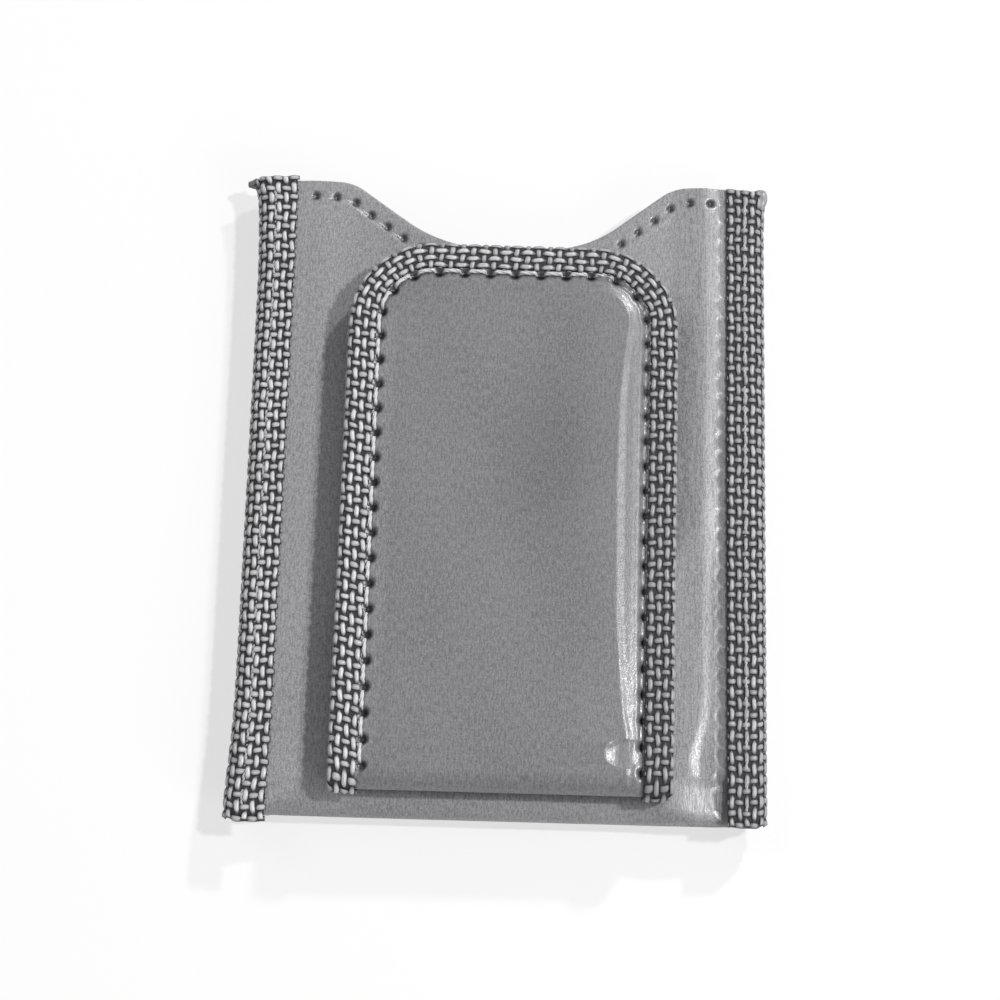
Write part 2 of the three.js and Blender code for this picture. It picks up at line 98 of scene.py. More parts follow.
def pocket_half(x):
    """Half the pocket's gap: full over the cards, eased by half a cosine wave to a pinch at the seams."""
    t = np.clip((np.abs(x) - CARD_ROOM_HALF) / EASE_WIDTH, 0, 1)
    return POCKET_HALF + (PINCH_HALF - POCKET_HALF) * (1 - np.cos(np.pi * t)) / 2


def tape_height(x):
    """Height of a side tape's front leg over the sleeve's middle plane: a straight line from its free edge,
    which is higher on the left, out to the place where the tape turns down."""
    edge = np.where(x > 0, RIGHT_EDGE_Z, LEFT_EDGE_Z)
    share = np.clip((np.abs(x) - TAPE_INNER_X) / (TAPE_TURN_X - TAPE_INNER_X), 0, 1)
    return edge + (TAPE_TURN_Z - edge) * share


def front_drop(x):
    """How far the front lies below the full pocket: it is dished in the middle and swells beside each seam by
    a bell curve, wide on the left and narrow on the right."""
    return PANEL_DISH - SEAM_SWELL * np.where(x > 0, bell(x - 26.0, 2.8), bell(-x - 27.5, 4.5))


def panel_half(x, front):
    """Half the gap under a panel. The back lies flat, as pocket_half says. The front drops as front_drop
    says, and by a smooth step it comes to lie close under the tapes."""
    a = np.abs(x)
    covered = np.sign(x) * np.maximum(a, TAPE_INNER_X - 0.1)
    under_tape = tape_height(covered) - SIDE_TAPE_T / 2 - LAYERS - 0.02
    drawn = POCKET_HALF - front_drop(x)
    drawn = drawn + smooth_step((a - 28.2) / 1.2) * (under_tape - drawn)
    return np.where(front, drawn, pocket_half(x))


def settled(points):
    """Points moved as the cloth was sewn: towards the mouth, by smooth steps, the right side sits a little
    high and the left low."""
    x, y = points[..., 0], points[..., 1]
    rise = 0.50 * smooth_step((x - 10) / 14) - 0.22 * smooth_step((-x - 10) / 14)
    shift = np.zeros_like(points)
    shift[..., 1] = rise * smooth_step((y - 5) / 35)
    return points + shift


def notch_depth(x):
    """Depth of the notch: a straight flank at NOTCH_SLOPE, joined by arcs to the mouth and to the floor."""
    a = np.abs(x)
    half_turn = np.tan(NOTCH_SLOPE / 2)
    floor_half = NOTCH_TOP_HALF - NOTCH_DEPTH / np.tan(NOTCH_SLOPE)
    shoulder_out = NOTCH_TOP_HALF + NOTCH_SHOULDER_R * half_turn
    shoulder_in = NOTCH_TOP_HALF - NOTCH_SHOULDER_R * half_turn * np.cos(NOTCH_SLOPE)
    floor_out = floor_half + NOTCH_FLOOR_R * half_turn * np.cos(NOTCH_SLOPE)
    floor_in = floor_half - NOTCH_FLOOR_R * half_turn
    shoulder = NOTCH_SHOULDER_R - np.sqrt(np.maximum(NOTCH_SHOULDER_R ** 2 - (shoulder_out - a) ** 2, 0))
    floor = NOTCH_DEPTH - NOTCH_FLOOR_R + np.sqrt(np.maximum(NOTCH_FLOOR_R ** 2 - (a - floor_in) ** 2, 0))
    flank = (NOTCH_TOP_HALF - a) * np.tan(NOTCH_SLOPE)
    return np.select(
        [a >= shoulder_out, a >= shoulder_in, a >= floor_out, a > floor_in],
        [0 * a, shoulder, flank, floor],
        NOTCH_DEPTH,
    )


def below_mouth(x, inset):
    """Height of a line that keeps an inset from the mouth's edge, also along the notch's flanks."""
    step = 0.01
    slope = (notch_depth(x + step) - notch_depth(x - step)) / (2 * step)
    return MOUTH_Y - notch_depth(x) - inset * np.hypot(1, slope)


def run_along(line):
    """Length along a line of points up to each of them: the sum of the distances between neighbours."""
    return np.concatenate([[0], np.cumsum(np.linalg.norm(np.diff(line, axis=0), axis=1))])


def spaced_along(line, pitch):
    """Points at equal steps along a line of points, the step nearest to the pitch that divides its length."""
    run = run_along(line)
    count = int(round(run[-1] / pitch))
    at = np.linspace(0, run[-1], count + 1)
    return np.stack([np.interp(at, run, line[:, k]) for k in range(line.shape[1])], -1)


def nearest(x, y, spots):
    """Distance from each point to the nearest of some spots."""
    d = np.full(np.shape(x), np.inf)
    for spot_x, spot_y in spots:
        d = np.minimum(d, np.hypot(x - spot_x, y - spot_y))
    return d


def needle_hole(distance, radius, depth):
    """A steep round dimple: depth times e to the minus third power of distance over radius."""
    return -depth * np.exp(-(distance / radius) ** 3)


def hole_shade(distance, radius):
    """How much painted shade a needle hole gets: 1 in its middle half, falling by a smooth step to 0 just
    past its radius.
    """
    return 1 - smooth_step((distance - 0.5 * radius) / (0.6 * radius))


def closed_sheet(outer, inner):
    """Two equal grids of points (rows, columns, 3), the two sides of a cloth, joined along their edges."""
    rows, columns, _ = outer.shape
    grid = np.arange(rows * columns).reshape(rows, columns)
    face = np.stack([grid[:-1, :-1], grid[:-1, 1:], grid[1:, 1:], grid[1:, :-1]], -1).reshape(-1, 4)
    rim = np.concatenate([grid[0, :-1], grid[:-1, -1], grid[-1, :0:-1], grid[:0:-1, 0]])
    ahead = np.roll(rim, -1)
    under = rows * columns
    edge = np.stack([ahead, rim, rim + under, ahead + under], -1)
    quads = np.concatenate([face, face[:, ::-1] + under, edge])
    return np.concatenate([outer.reshape(-1, 3), inner.reshape(-1, 3)]), quads


def mesh_piece(name, points, quads, material, point_uv=None, corner_uv=None, values=None):
    """A smooth mesh object from points in millimetres and four-cornered faces, turned so that its faces point
    out (its volume, the sum of each face's box product, is positive). UV by point or by corner, and named
    values."""
    p0, p1, p2, p3 = (points[quads[:, k]] for k in range(4))
    volume = np.sum(p0 * np.cross(p1, p2)) + np.sum(p0 * np.cross(p2, p3))
    if volume < 0:
        quads = quads[:, ::-1]
        corner_uv = None if corner_uv is None else corner_uv[:, ::-1]
    mesh = bpy.data.meshes.new(name)
    mesh.vertices.add(len(points))
    mesh.vertices.foreach_set("co", (points * MM).astype(np.float32).ravel())
    mesh.loops.add(quads.size)
    mesh.loops.foreach_set("vertex_index", quads.astype(np.int32).ravel())
    mesh.polygons.add(len(quads))
    mesh.polygons.foreach_set("loop_start", np.arange(0, quads.size, 4, dtype=np.int32))
    mesh.polygons.foreach_set("use_smooth", np.ones(len(quads), dtype=bool))
    mesh.update(calc_edges=True)
    if point_uv is not None:
        corner_uv = point_uv[quads]
    if corner_uv is not None:
        layer = mesh.uv_layers.new(name="cloth")
        layer.data.foreach_set("uv", corner_uv.astype(np.float32).ravel())
    for key, value in (values or {}).items():
        attribute = mesh.attributes.new(key, "FLOAT", "POINT")
        attribute.data.foreach_set("value", np.asarray(value, dtype=np.float32).ravel())
    mesh.materials.append(material)
    piece = bpy.data.objects.new(name, mesh)
    bpy.context.scene.collection.objects.link(piece)
    return piece


def add_node(tree, kind, props=None, **inputs):
    """A shader node with its properties set, and each named input given a value or linked to a socket."""
    made = tree.nodes.new(kind)
    for key, value in (props or {}).items():
        setattr(made, key, value)
    for key, value in inputs.items():
        socket = made.inputs[int(key[1:]) if key[0] == "_" else key.replace("_", " ")]
        if isinstance(value, bpy.types.NodeSocket):
            tree.links.new(value, socket)
        else:
            socket.default_value = value
    return made


def maths(tree, operation, first, second=0.0, third=0.0):
    """The result of one Math node."""
    made = add_node(tree, "ShaderNodeMath", {"operation": operation}, _0=first, _1=second, _2=third)
    return made.outputs[0]


def map_range(tree, value, low, high, at_low, at_high, way="LINEAR"):
    """A value carried from one range over to another, straight or by a smooth step."""
    made = add_node(
        tree, "ShaderNodeMapRange", {"interpolation_type": way},
        _0=value, _1=low, _2=high, _3=at_low, _4=at_high,
    )
    return made.outputs[0]


def effect_group(name, inputs, outputs):
    """An empty shader node group with named sockets, and its input and output nodes."""
    tree = bpy.data.node_groups.new(name, "ShaderNodeTree")
    for label, kind in inputs:
        tree.interface.new_socket(label, in_out="INPUT", socket_type=kind)
    for label, kind in outputs:
        tree.interface.new_socket(label, in_out="OUTPUT", socket_type=kind)
    return tree, tree.nodes.new("NodeGroupInput"), tree.nodes.new("NodeGroupOutput")


def noise(tree, vector, scale, detail=2.0, roughness=0.5):
    """Noise stretched by a scale for each axis, which is about its number of features in one unit."""
    placed = add_node(tree, "ShaderNodeMapping", Vector=vector, Scale=scale)
    made = add_node(
        tree, "ShaderNodeTexNoise", Vector=placed.outputs[0], Scale=1.0, Detail=detail, Roughness=roughness,
    )
    return made.outputs["Fac"]


def fresh_material(name):
    """A new material with no nodes yet, and its node tree."""
    material = bpy.data.materials.new(name)
    material.use_nodes = True
    tree = material.node_tree
    tree.nodes.clear()
    return material, tree


def dress(tree, **inputs):
    """The material's shader with its inputs set or linked, joined to the output."""
    shader = add_node(tree, "ShaderNodeBsdfPrincipled", **inputs)
    out = tree.nodes.new("ShaderNodeOutputMaterial")
    tree.links.new(shader.outputs[0], out.inputs["Surface"])
    return shader


def cloth_place(tree):
    """The cloth's own coordinates, across and along it."""
    return add_node(tree, "ShaderNodeUVMap", {"uv_map": "cloth"}).outputs[0]


def bump(tree, strength, depth, height, **under):
    """The normal of a surface that a height bumps, over the normal of another bump if that is given."""
    made = add_node(tree, "ShaderNodeBump", Strength=strength, Distance=depth, Height=height, **under)
    return made.outputs[0]


def read_value(tree, name):
    """A value that the mesh carries for each of its points."""
    return add_node(tree, "ShaderNodeAttribute", {"attribute_name": name}).outputs["Fac"]


def mix_colours(tree, share, first, second):
    """Two colours mixed by a share."""
    made = add_node(tree, "ShaderNodeMix", {"data_type": "RGBA"}, _0=share, _6=first, _7=second)
    return made.outputs[2]


def grey(level, warmth=0.0):
    """A grey as a colour, with a trace of blue that grows where warmth is below 0."""
    return (level + warmth, 0.99 * level, 1.02 * level - warmth, 1.0)


# The grain of the steel textile: short threads along the cloth, a fine grain between them, broad clouds,
# bright specks of painted highlight where single filaments glint, and long streaks where the cloth is brushed
# by use.
steel_grain, grain_in, grain_out = effect_group(
    "steel_grain", [("Cloth", "NodeSocketVector"), ("Brushed", "NodeSocketFloat")],
    [("Tone", "NodeSocketFloat"), ("Height", "NodeSocketFloat")],
)
grain_cloth = grain_in.outputs["Cloth"]
threads = noise(steel_grain, grain_cloth, (3600, 1000, 1), 2.0, 0.6)
fine_grain = noise(steel_grain, grain_cloth, (6400, 4400, 1), 1.0)
clouds = noise(steel_grain, grain_cloth, (110, 60, 1), 3.0)
painted_glints = noise(steel_grain, grain_cloth, (4300, 2300, 1), 0.0)
streaks = noise(steel_grain, grain_cloth, (4300, 150, 1), 1.0)
tone = maths(steel_grain, "MULTIPLY_ADD", threads, 1.9, -0.95)
tone = maths(steel_grain, "ADD", tone, maths(steel_grain, "MULTIPLY_ADD", fine_grain, 1.5, -0.75))
tone = maths(steel_grain, "ADD", tone, maths(steel_grain, "MULTIPLY_ADD", clouds, 0.44, 0.28))
streaks = maths(steel_grain, "MULTIPLY_ADD", streaks, 1.3, -0.65)
tone = maths(steel_grain, "MULTIPLY_ADD", streaks, grain_in.outputs["Brushed"], tone)
# Painted highlight: where the glint noise is high, it adds bright specks to the tone.
tone = maths(steel_grain, "ADD", tone, map_range(steel_grain, painted_glints, 0.63, 0.78, 0.0, 1.1))
steel_grain.links.new(tone, grain_out.inputs["Tone"])
steel_grain.links.new(maths(steel_grain, "ADD", threads, fine_grain), grain_out.inputs["Height"])


# The seam's pull on the sleeve: beside the right tape each stitch draws a shallow oval pocket into the cloth.
# The pockets get painted shade inside, less of it towards the mouth.
PULL_X = 29.6
PULL_HALF_X = 1.35
PULL_HALF_Y = 1.7
seam_pull, pull_in, pull_out = effect_group(
    "seam_pull", [("Cloth", "NodeSocketVector")],
    [("Height", "NodeSocketFloat"), ("Painted Shade", "NodeSocketFloat")],
)
pull_place = add_node(seam_pull, "ShaderNodeSeparateXYZ", Vector=pull_in.outputs[0])
pull_x, pull_y = pull_place.outputs[0], pull_place.outputs[1]
pull_across = maths(seam_pull, "MULTIPLY_ADD", pull_x, 1 / (PULL_HALF_X * MM), -PULL_X / PULL_HALF_X)
pull_stray = noise(seam_pull, pull_in.outputs[0], (300, 520, 1), 2.0)
pull_across = maths(seam_pull, "MULTIPLY_ADD", pull_stray, 0.5, pull_across)
pull_wave = maths(seam_pull, "PINGPONG", pull_y, SEAM_PITCH / 2 * MM)
pull_along = maths(seam_pull, "MULTIPLY", pull_wave, 1 / (PULL_HALF_Y * MM))
pull_along = maths(seam_pull, "MULTIPLY", pull_along, pull_along)
pull_reach = maths(seam_pull, "SQRT", maths(seam_pull, "MULTIPLY_ADD", pull_across, pull_across, pull_along))
pull_height = map_range(seam_pull, pull_reach, 0.66, 1.14, 0.0, 1.0, "SMOOTHSTEP")
pull_lower = map_range(seam_pull, pull_y, 45 * MM, 68 * MM, 0.5, 0.12, "SMOOTHSTEP")
pull_painted_shade = maths(seam_pull, "MULTIPLY", maths(seam_pull, "SUBTRACT", 1.0, pull_height), pull_lower)
seam_pull.links.new(pull_height, pull_out.inputs["Height"])
seam_pull.links.new(pull_painted_shade, pull_out.inputs["Painted Shade"])


def steel_textile(name, dark, light, rough, pulled=0.0):
    """Satin grey cloth of steel yarn: the grain tints it, with painted glints among it, and the needle holes
    get painted shade inside, which also carries the clip face's darker patch. It can be drawn in beside the
    seam, with painted shade inside the pockets."""
    material, tree = fresh_material(name)
    cloth = cloth_place(tree)
    grain = add_node(
        tree, "ShaderNodeGroup", {"node_tree": steel_grain}, Cloth=cloth, Brushed=read_value(tree, "brushed"),
    )
    colour = mix_colours(tree, grain.outputs["Tone"], grey(dark, -0.001), grey(light, -0.002))
    # Painted shade in the needle holes, and on the clip's face a broad darker patch, mixed towards the shade
    # tone.
    colour = mix_colours(tree, read_value(tree, "hole_shade_and_patch"), colour, grey(PAINTED_SHADE_TONE))
    drawn = {}
    if pulled:
        pull = add_node(tree, "ShaderNodeGroup", {"node_tree": seam_pull}, Cloth=cloth)
        drawn["Normal"] = bump(tree, 1.0, pulled, pull.outputs["Height"])
        # Painted shade inside the seam pockets.
        colour = mix_colours(tree, pull.outputs["Painted Shade"], colour, grey(PAINTED_SHADE_TONE))
    bumped = bump(tree, 0.35, 0.04 * MM, grain.outputs["Height"], **drawn)
    roughness = maths(tree, "MULTIPLY_ADD", grain.outputs["Tone"], -0.10, rough)
    dress(tree, Base_Color=colour, Roughness=roughness, Metallic=0.15, Normal=bumped)
    return material


hem_x = np.linspace(-CARD_ROOM_HALF, CARD_ROOM_HALF, 600)
hem_line = np.stack([hem_x, below_mouth(hem_x, HEM_INSET)], -1)
hem_holes = spaced_along(hem_line, HEM_PITCH)

# The strip that the right side seam draws in: where its wall begins at heights along the front. It widens to
# a dent near the bottom.
WALL_Y = np.array([-39.6, -39.2, -38.5, -37.0, -35.3, -33.0, -30.6, -28.0, -20.0, -8.0, 2.0, 14.0])
WALL_X = np.array([28.2, 26.6, 25.1, 24.5, 24.4, 25.1, 25.8, 26.0, 26.0, 26.0, 26.1, 26.3])
WALL_WIDTH = 2.9
CREST_LOW = 3.18
CREST_RISE = 0.55
CREST_X = 21.6
CREST_WIDTH = 4.8
CORNER_X = 22.5
CORNER_Y = -37.0
DENT_X = 27.2
DENT_Y = -37.5
DENT_LOW_Y = -39.5
STRIP_EDGE_X = 29.5
STRIP_EDGE_Z = 3.41


def right_front(x, y):
    """Height of the front beside the right seam, over the sleeve's middle plane: a smooth step up towards the
    seam, further in below the middle, then the wall, a smooth step down to a floor that rises a little to the
    tape and is hollow in the dent. The lower half slopes a little to the right, and its corner more, along a
    hyperbola."""
    lower = smooth_step((-1 - y) / 14)
    crest = CREST_LOW + (CREST_RISE - 0.17 * lower) * smooth_step((x - CREST_X + 5.0 * lower) / CREST_WIDTH)
    fall = x - CORNER_X + np.hypot(x - CORNER_X, 2.0)
    crest = crest - fall * (0.008 * lower + 0.055 * smooth_step((CORNER_Y - y) / 2.4))
    floor = STRIP_EDGE_Z - 0.03 * (STRIP_EDGE_X - x) - 0.07 * bell(y - DENT_Y, 3) * bell(x - DENT_X, 2)
    wall_width = WALL_WIDTH - 1.0 * smooth_step((-6 - y) / 10) - 0.2 * smooth_step((-26 - y) / 5)
    drawn = smooth_step((x - np.interp(y, WALL_Y, WALL_X)) / wall_width)
    drawn = drawn * smooth_step(y - DENT_LOW_Y - 0.4 * np.maximum(x - 27, 0))
    return crest + drawn * (floor - crest)


def panel_relief(x, y, front):
    """How far the cloth stands out: needle holes and the groove just under them along the hem, and low waves.
    The front panel swells a little more at its upper left, by a bell curve, and is as high beside the right
    seam as right_front says. The back panel stands out nowhere."""
    hem_slope = np.gradient(below_mouth(x, HEM_INSET), axis=1) / np.gradient(x, axis=1)
    below = (below_mouth(x, HEM_INSET) - y) / np.hypot(1, hem_slope)
    sewn = smooth_step((CARD_ROOM_HALF + 1.2 - np.abs(x)) / 0.6)
    relief = needle_hole(nearest(x, y, hem_holes), HEM_NEEDLE_R, HEM_NEEDLE_DEPTH)
    relief -= sewn * np.where(x > 0, 0.07, 0.12) * bell(below - THREAD_BELOW, 0.30)
    relief += sewn * 0.07 * bell(below - 0.95, 0.28)
    waves = 0.04 * np.sin(0.19 * x + 0.11 * y) + 0.04 * np.sin(0.13 * y - 0.27 * x + 1.3)
    relief += waves * smooth_step((CARD_ROOM_HALF - np.abs(x)) / 6)
    relief += 0.08 * bell(x + 27.5, 4.5) * smooth_step((y - 5) / 15) * smooth_step((x + 29.2) / 1.5)
    if not front:
        return np.minimum(relief, 0)
    beside = smooth_step((x - 13) / 5) * (1 - smooth_step((x - STRIP_EDGE_X + 0.3) / 0.5))
    return relief + beside * (right_front(x, y) - panel_half(x, True) - LAYERS)


def folded_cloth(columns, hem_rows, panel_rows, fold_rows, middle, thick, relief_of):
    """A cloth folded at the bottom. Columns lie across it. Its rows run down the back panel, round the fold,
    a half turn about the line one sleeve half thickness above the bottom, squarer in front, and up the front
    panel. Each point lies its panel's half gap plus middle, and plus or minus half the thickness, from the
    pocket's middle plane. The mouth's edge is rounded."""
    fold_y = -MOUTH_Y + (panel_half(columns, False) + panel_half(columns, True)) / 2 + LAYERS

    def panel(insets, share):
        x = np.broadcast_to(columns, (len(insets) + len(share), len(columns)))
        hem = below_mouth(columns, insets[:, None])
        y = np.concatenate([hem, fold_y + (hem[-1] - fold_y) * share[:, None]])
        return x, y

    x_front, y_front = panel(hem_rows, np.linspace(1, 0, panel_rows[1] + 1)[1:])
    x_back, y_back = panel(hem_rows, np.linspace(1, 0, panel_rows[0] + 1)[1:])
    turn = np.linspace(0, np.pi, fold_rows + 2)[1:-1, None]
    to_front = 0.5 - 0.5 * np.cos(turn)
    x_fold = np.broadcast_to(columns, (fold_rows, len(columns)))
    y_fold = np.broadcast_to(fold_y, x_fold.shape)

    def through_fold(height_of):
        return height_of(False) * (1 - to_front) + height_of(True) * to_front

    def side(out):
        from_edge = np.concatenate([hem_rows, np.full(max(panel_rows), HEM_BAND)])
        round_edge = np.sqrt(1 - (1 - np.clip(from_edge / EDGE_ROUND, 0, 1)) ** 2)
        half = out * thick / 2
        reach_back = panel_half(x_back, False) + middle + half * round_edge[:len(x_back), None]
        reach_front = panel_half(x_front, True) + middle + half * round_edge[:len(x_front), None]
        reach_fold = through_fold(lambda front: panel_half(x_fold, front)) + middle + half
        lift = 0 * reach_fold
        if out > 0:
            reach_back = reach_back + relief_of(x_back, y_back, False)
            reach_front = reach_front + relief_of(x_front, y_front, True)
            lift = through_fold(lambda front: relief_of(x_fold, y_fold, front))
        front_power = 1 - 0.2 * smooth_step((columns + 20) / 20) - 0.42 * smooth_step((columns - 18) / 7)
        power = np.where(turn > np.pi / 2, front_power, 1.0)
        fold_in = np.sin(turn) ** power
        fold_up = np.sign(np.cos(turn)) * np.abs(np.cos(turn)) ** power
        back = np.stack([x_back, y_back, SLEEVE_HALF - reach_back], -1)
        fold = np.stack([
            x_fold, fold_y - reach_fold * fold_in, SLEEVE_HALF - (reach_fold + lift) * fold_up,
        ], -1)
        front = np.stack([x_front, y_front, SLEEVE_HALF + reach_front], -1)
        return settled(np.concatenate([back, fold, front[::-1]]))

    outer, inner = side(1), side(-1)
    bend = pocket_half(columns) + middle
    run = np.concatenate([
        -np.pi * bend - (y_back - fold_y), -bend * (np.pi - turn), (y_front - fold_y)[::-1],
    ])
    uv = np.stack([np.broadcast_to(columns, run.shape), run], -1) * MM
    # Painted shade in the hem's needle holes, on both panels.
    hole_shade_and_patch = np.concatenate([
        hole_shade(nearest(x_back, y_back, hem_holes), HEM_HOLE_R), 0 * x_fold,
        hole_shade(nearest(x_front, y_front, hem_holes), HEM_HOLE_R)[::-1],
    ])
    brushed = np.broadcast_to(smooth_step((columns - 20) / 5), hole_shade_and_patch.shape)
    points, quads = closed_sheet(outer, inner)
    both = np.concatenate([uv.reshape(-1, 2)] * 2)
    values = {"hole_shade_and_patch": np.stack([hole_shade_and_patch, hole_shade_and_patch]), "brushed": np.stack([brushed, brushed])}
    return points, quads, both, values


shell_columns = np.linspace(-SHELL_X, SHELL_X, 216)
shell_hem = np.concatenate([[0, 0.03, 0.1, 0.2, 0.32], np.linspace(0.6, HEM_BAND, 13)])
textile = steel_textile("steel_textile_sleeve", dark=0.157, light=0.354, rough=0.405, pulled=0.07 * MM)
shell_points, shell_quads, shell_uv, shell_values = folded_cloth(
    shell_columns, shell_hem, panel_rows=(58, 112), fold_rows=18,
    middle=LAYERS - SHELL_T / 2, thick=SHELL_T, relief_of=panel_relief,
)
sleeve_shell_cloth = mesh_piece(
    "sleeve_shell_cloth", shell_points, shell_quads, textile, shell_uv, values=shell_values,
)
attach(sleeve_shell_cloth, "sleeve")
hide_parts("sleeve_shell")

# Sleeve lining: one sheet of dark nylon cloth inside the shell, folded at the bottom with it, cut a little
# short of the mouth and caught by the hem stitches and the side seams.
LINING_SETBACK = 0.4
cloth_weave, weave_in, weave_out = effect_group(
    "cloth_weave", [("Cloth", "NodeSocketVector"), ("Pitch", "NodeSocketFloat")],
    [("Weave", "NodeSocketFloat")],
)
across = add_node(cloth_weave, "ShaderNodeSeparateXYZ", Vector=weave_in.outputs[0])
turns = maths(cloth_weave, "DIVIDE", 2 * np.pi, weave_in.outputs[1])
wave_u = maths(cloth_weave, "SINE", maths(cloth_weave, "MULTIPLY", across.outputs[0], turns))
wave_v = maths(cloth_weave, "SINE", maths(cloth_weave, "MULTIPLY", across.outputs[1], turns))
woven = maths(cloth_weave, "MULTIPLY_ADD", maths(cloth_weave, "MULTIPLY", wave_u, wave_v), 0.5, 0.5)
cloth_weave.links.new(woven, weave_out.inputs["Weave"])

lining_material, lining_tree = fresh_material("lining_nylon")
lining_cloth = cloth_place(lining_tree)
lining_weave = add_node(
    lining_tree, "ShaderNodeGroup", {"node_tree": cloth_weave}, Cloth=lining_cloth, Pitch=0.5 * MM,
).outputs[0]
lining_grain = noise(lining_tree, lining_cloth, (3000, 3000, 1))
lining_tone = maths(lining_tree, "MULTIPLY_ADD", lining_weave, 0.6, lining_grain)
lining_colour = mix_colours(lining_tree, lining_tone, grey(0.018), grey(0.055))
lining_bump = bump(lining_tree, 0.5, 0.06 * MM, lining_weave)
dress(lining_tree, Base_Color=lining_colour, Roughness=0.75, Normal=lining_bump)
lining_columns = np.linspace(-SHELL_X, SHELL_X, 120)
lining_rows = LINING_SETBACK + np.array([0, 0.04, 0.12, 0.3, 1.0, 2.0])
lining_points, lining_quads, lining_uv, _ = folded_cloth(
    lining_columns, lining_rows, panel_rows=(60, 60), fold_rows=10,
    middle=LINING_T / 2, thick=LINING_T, relief_of=lambda x, y, front: 0 * x,
)
sleeve_lining_cloth = mesh_piece(
    "sleeve_lining_cloth", lining_points, lining_quads, lining_material, lining_uv,
)
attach(sleeve_lining_cloth, "sleeve")
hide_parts("sleeve_lining")

# Hem threads: twisted polyester thread, one row on the shell and one on the lining of each panel. Each
# stitch lies in the groove of the hem and dives into a needle hole at both ends.
HEM_THREAD_R = 0.15
HEM_THREAD_LOW = {1: -0.75, -1: -0.87}
HEM_BOBBIN_LOW = -0.40
THREAD_STEP = 0.16


def tube_mesh(rings, along, closed=False):
    """Joins rings of points (yarns, rings, sides, 3) into tubes. A closed tube's last ring meets its first,
    and an open one ends in flat caps of quads. U runs along the tube in millimetres and V once round it."""
    yarns, count, sides, _ = rings.shape
    index = np.arange(yarns * count * sides).reshape(yarns, count, sides)
    here = index if closed else index[:, :-1]
    ahead = np.roll(index, -1, 1) if closed else index[:, 1:]
    quads = np.stack([here, np.roll(here, -1, 2), np.roll(ahead, -1, 2), ahead], -1).reshape(-1, 4)
    u = np.broadcast_to(along[None, :, None], (yarns, len(along), sides))
    v = np.broadcast_to(np.arange(sides) / sides, u[:, 1:].shape) + 0.37 * np.arange(yarns)[:, None, None]
    u_corners = np.stack([u[:, :-1], u[:, :-1], u[:, 1:], u[:, 1:]], -1)
    v_corners = np.stack([v, v + 1 / sides, v + 1 / sides, v], -1)
    uv = np.stack([u_corners, v_corners], -1).reshape(-1, 4, 2)
    if not closed:
        fan = [[-i % sides, i + 1, i + 2, (-i - 1) % sides] for i in range(sides // 2 - 1)]
        first_cap = index[:, 0][:, fan][..., ::-1].reshape(-1, 4)
        last_cap = index[:, -1][:, fan].reshape(-1, 4)
        caps = np.concatenate([first_cap, last_cap])
        quads = np.concatenate([quads, caps])
        uv = np.concatenate([uv, np.zeros((len(caps), 4, 2))])
    return rings.reshape(-1, 3), quads, uv


def unit(vectors):
    """Vectors of length one."""
    return vectors / np.maximum(np.linalg.norm(vectors, axis=-1, keepdims=True), 1e-9)


def twisted_thread(centre, across, radius, twist=1.1, strands=2, sides=6):
    """Strands wound round a path: each is a tube whose middle turns about the path once in every twist.
    Across is a direction square to the path, and the third direction is the cross product of it and the
    path's own. The radius is one for the whole path or one for each point."""
    along = run_along(centre)
    forward = unit(np.gradient(centre, axis=0))
    up = unit(np.cross(forward, across))
    side = np.cross(up, forward)
    turn = 2 * np.pi * (along / twist + np.arange(strands)[:, None] / strands)
    radius = np.reshape(radius, (-1, 1))
    middle = centre + 0.42 * radius * (np.cos(turn)[..., None] * side + np.sin(turn)[..., None] * up)
    angle = 2 * np.pi * np.arange(sides) / sides
    ring = np.cos(angle)[:, None, None] * side + np.sin(angle)[:, None, None] * up
    rings = middle[:, :, None] + 0.66 * radius[:, None] * ring.transpose(1, 0, 2)
    return tube_mesh(rings, along)


def polyester_thread(name, dark, light):
    """Glossy twisted thread: fine fibres along it that vary in tone."""
    material, tree = fresh_material(name)
    fibres = noise(tree, cloth_place(tree), (1.6, 9.0, 1), 2.0)
    bumped = bump(tree, 0.4, 0.03 * MM, fibres)
    dress(tree, Base_Color=mix_colours(tree, fibres, grey(dark), grey(light)), Roughness=0.42, Normal=bumped)
    return material


def stitch_wave(run, pitch):
    """1 along each stitch and falling by a smooth step to 0 close to its two needle holes."""
    to_hole = np.abs(np.mod(run + pitch / 2, pitch) - pitch / 2)
    return smooth_step((to_hole - 0.35) / 0.5)


def sew_row(row, body, material, centre, across, radius, **lay):
    """A row of thread as a piece of its own: strands wound along a path, moving with a body."""
    points, quads, uv = twisted_thread(centre, across, radius, **lay)
    row_thread = mesh_piece(f"{row}_ply", points, quads, material, corner_uv=uv)
    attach(row_thread, body)
    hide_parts(f"{row}_thread")


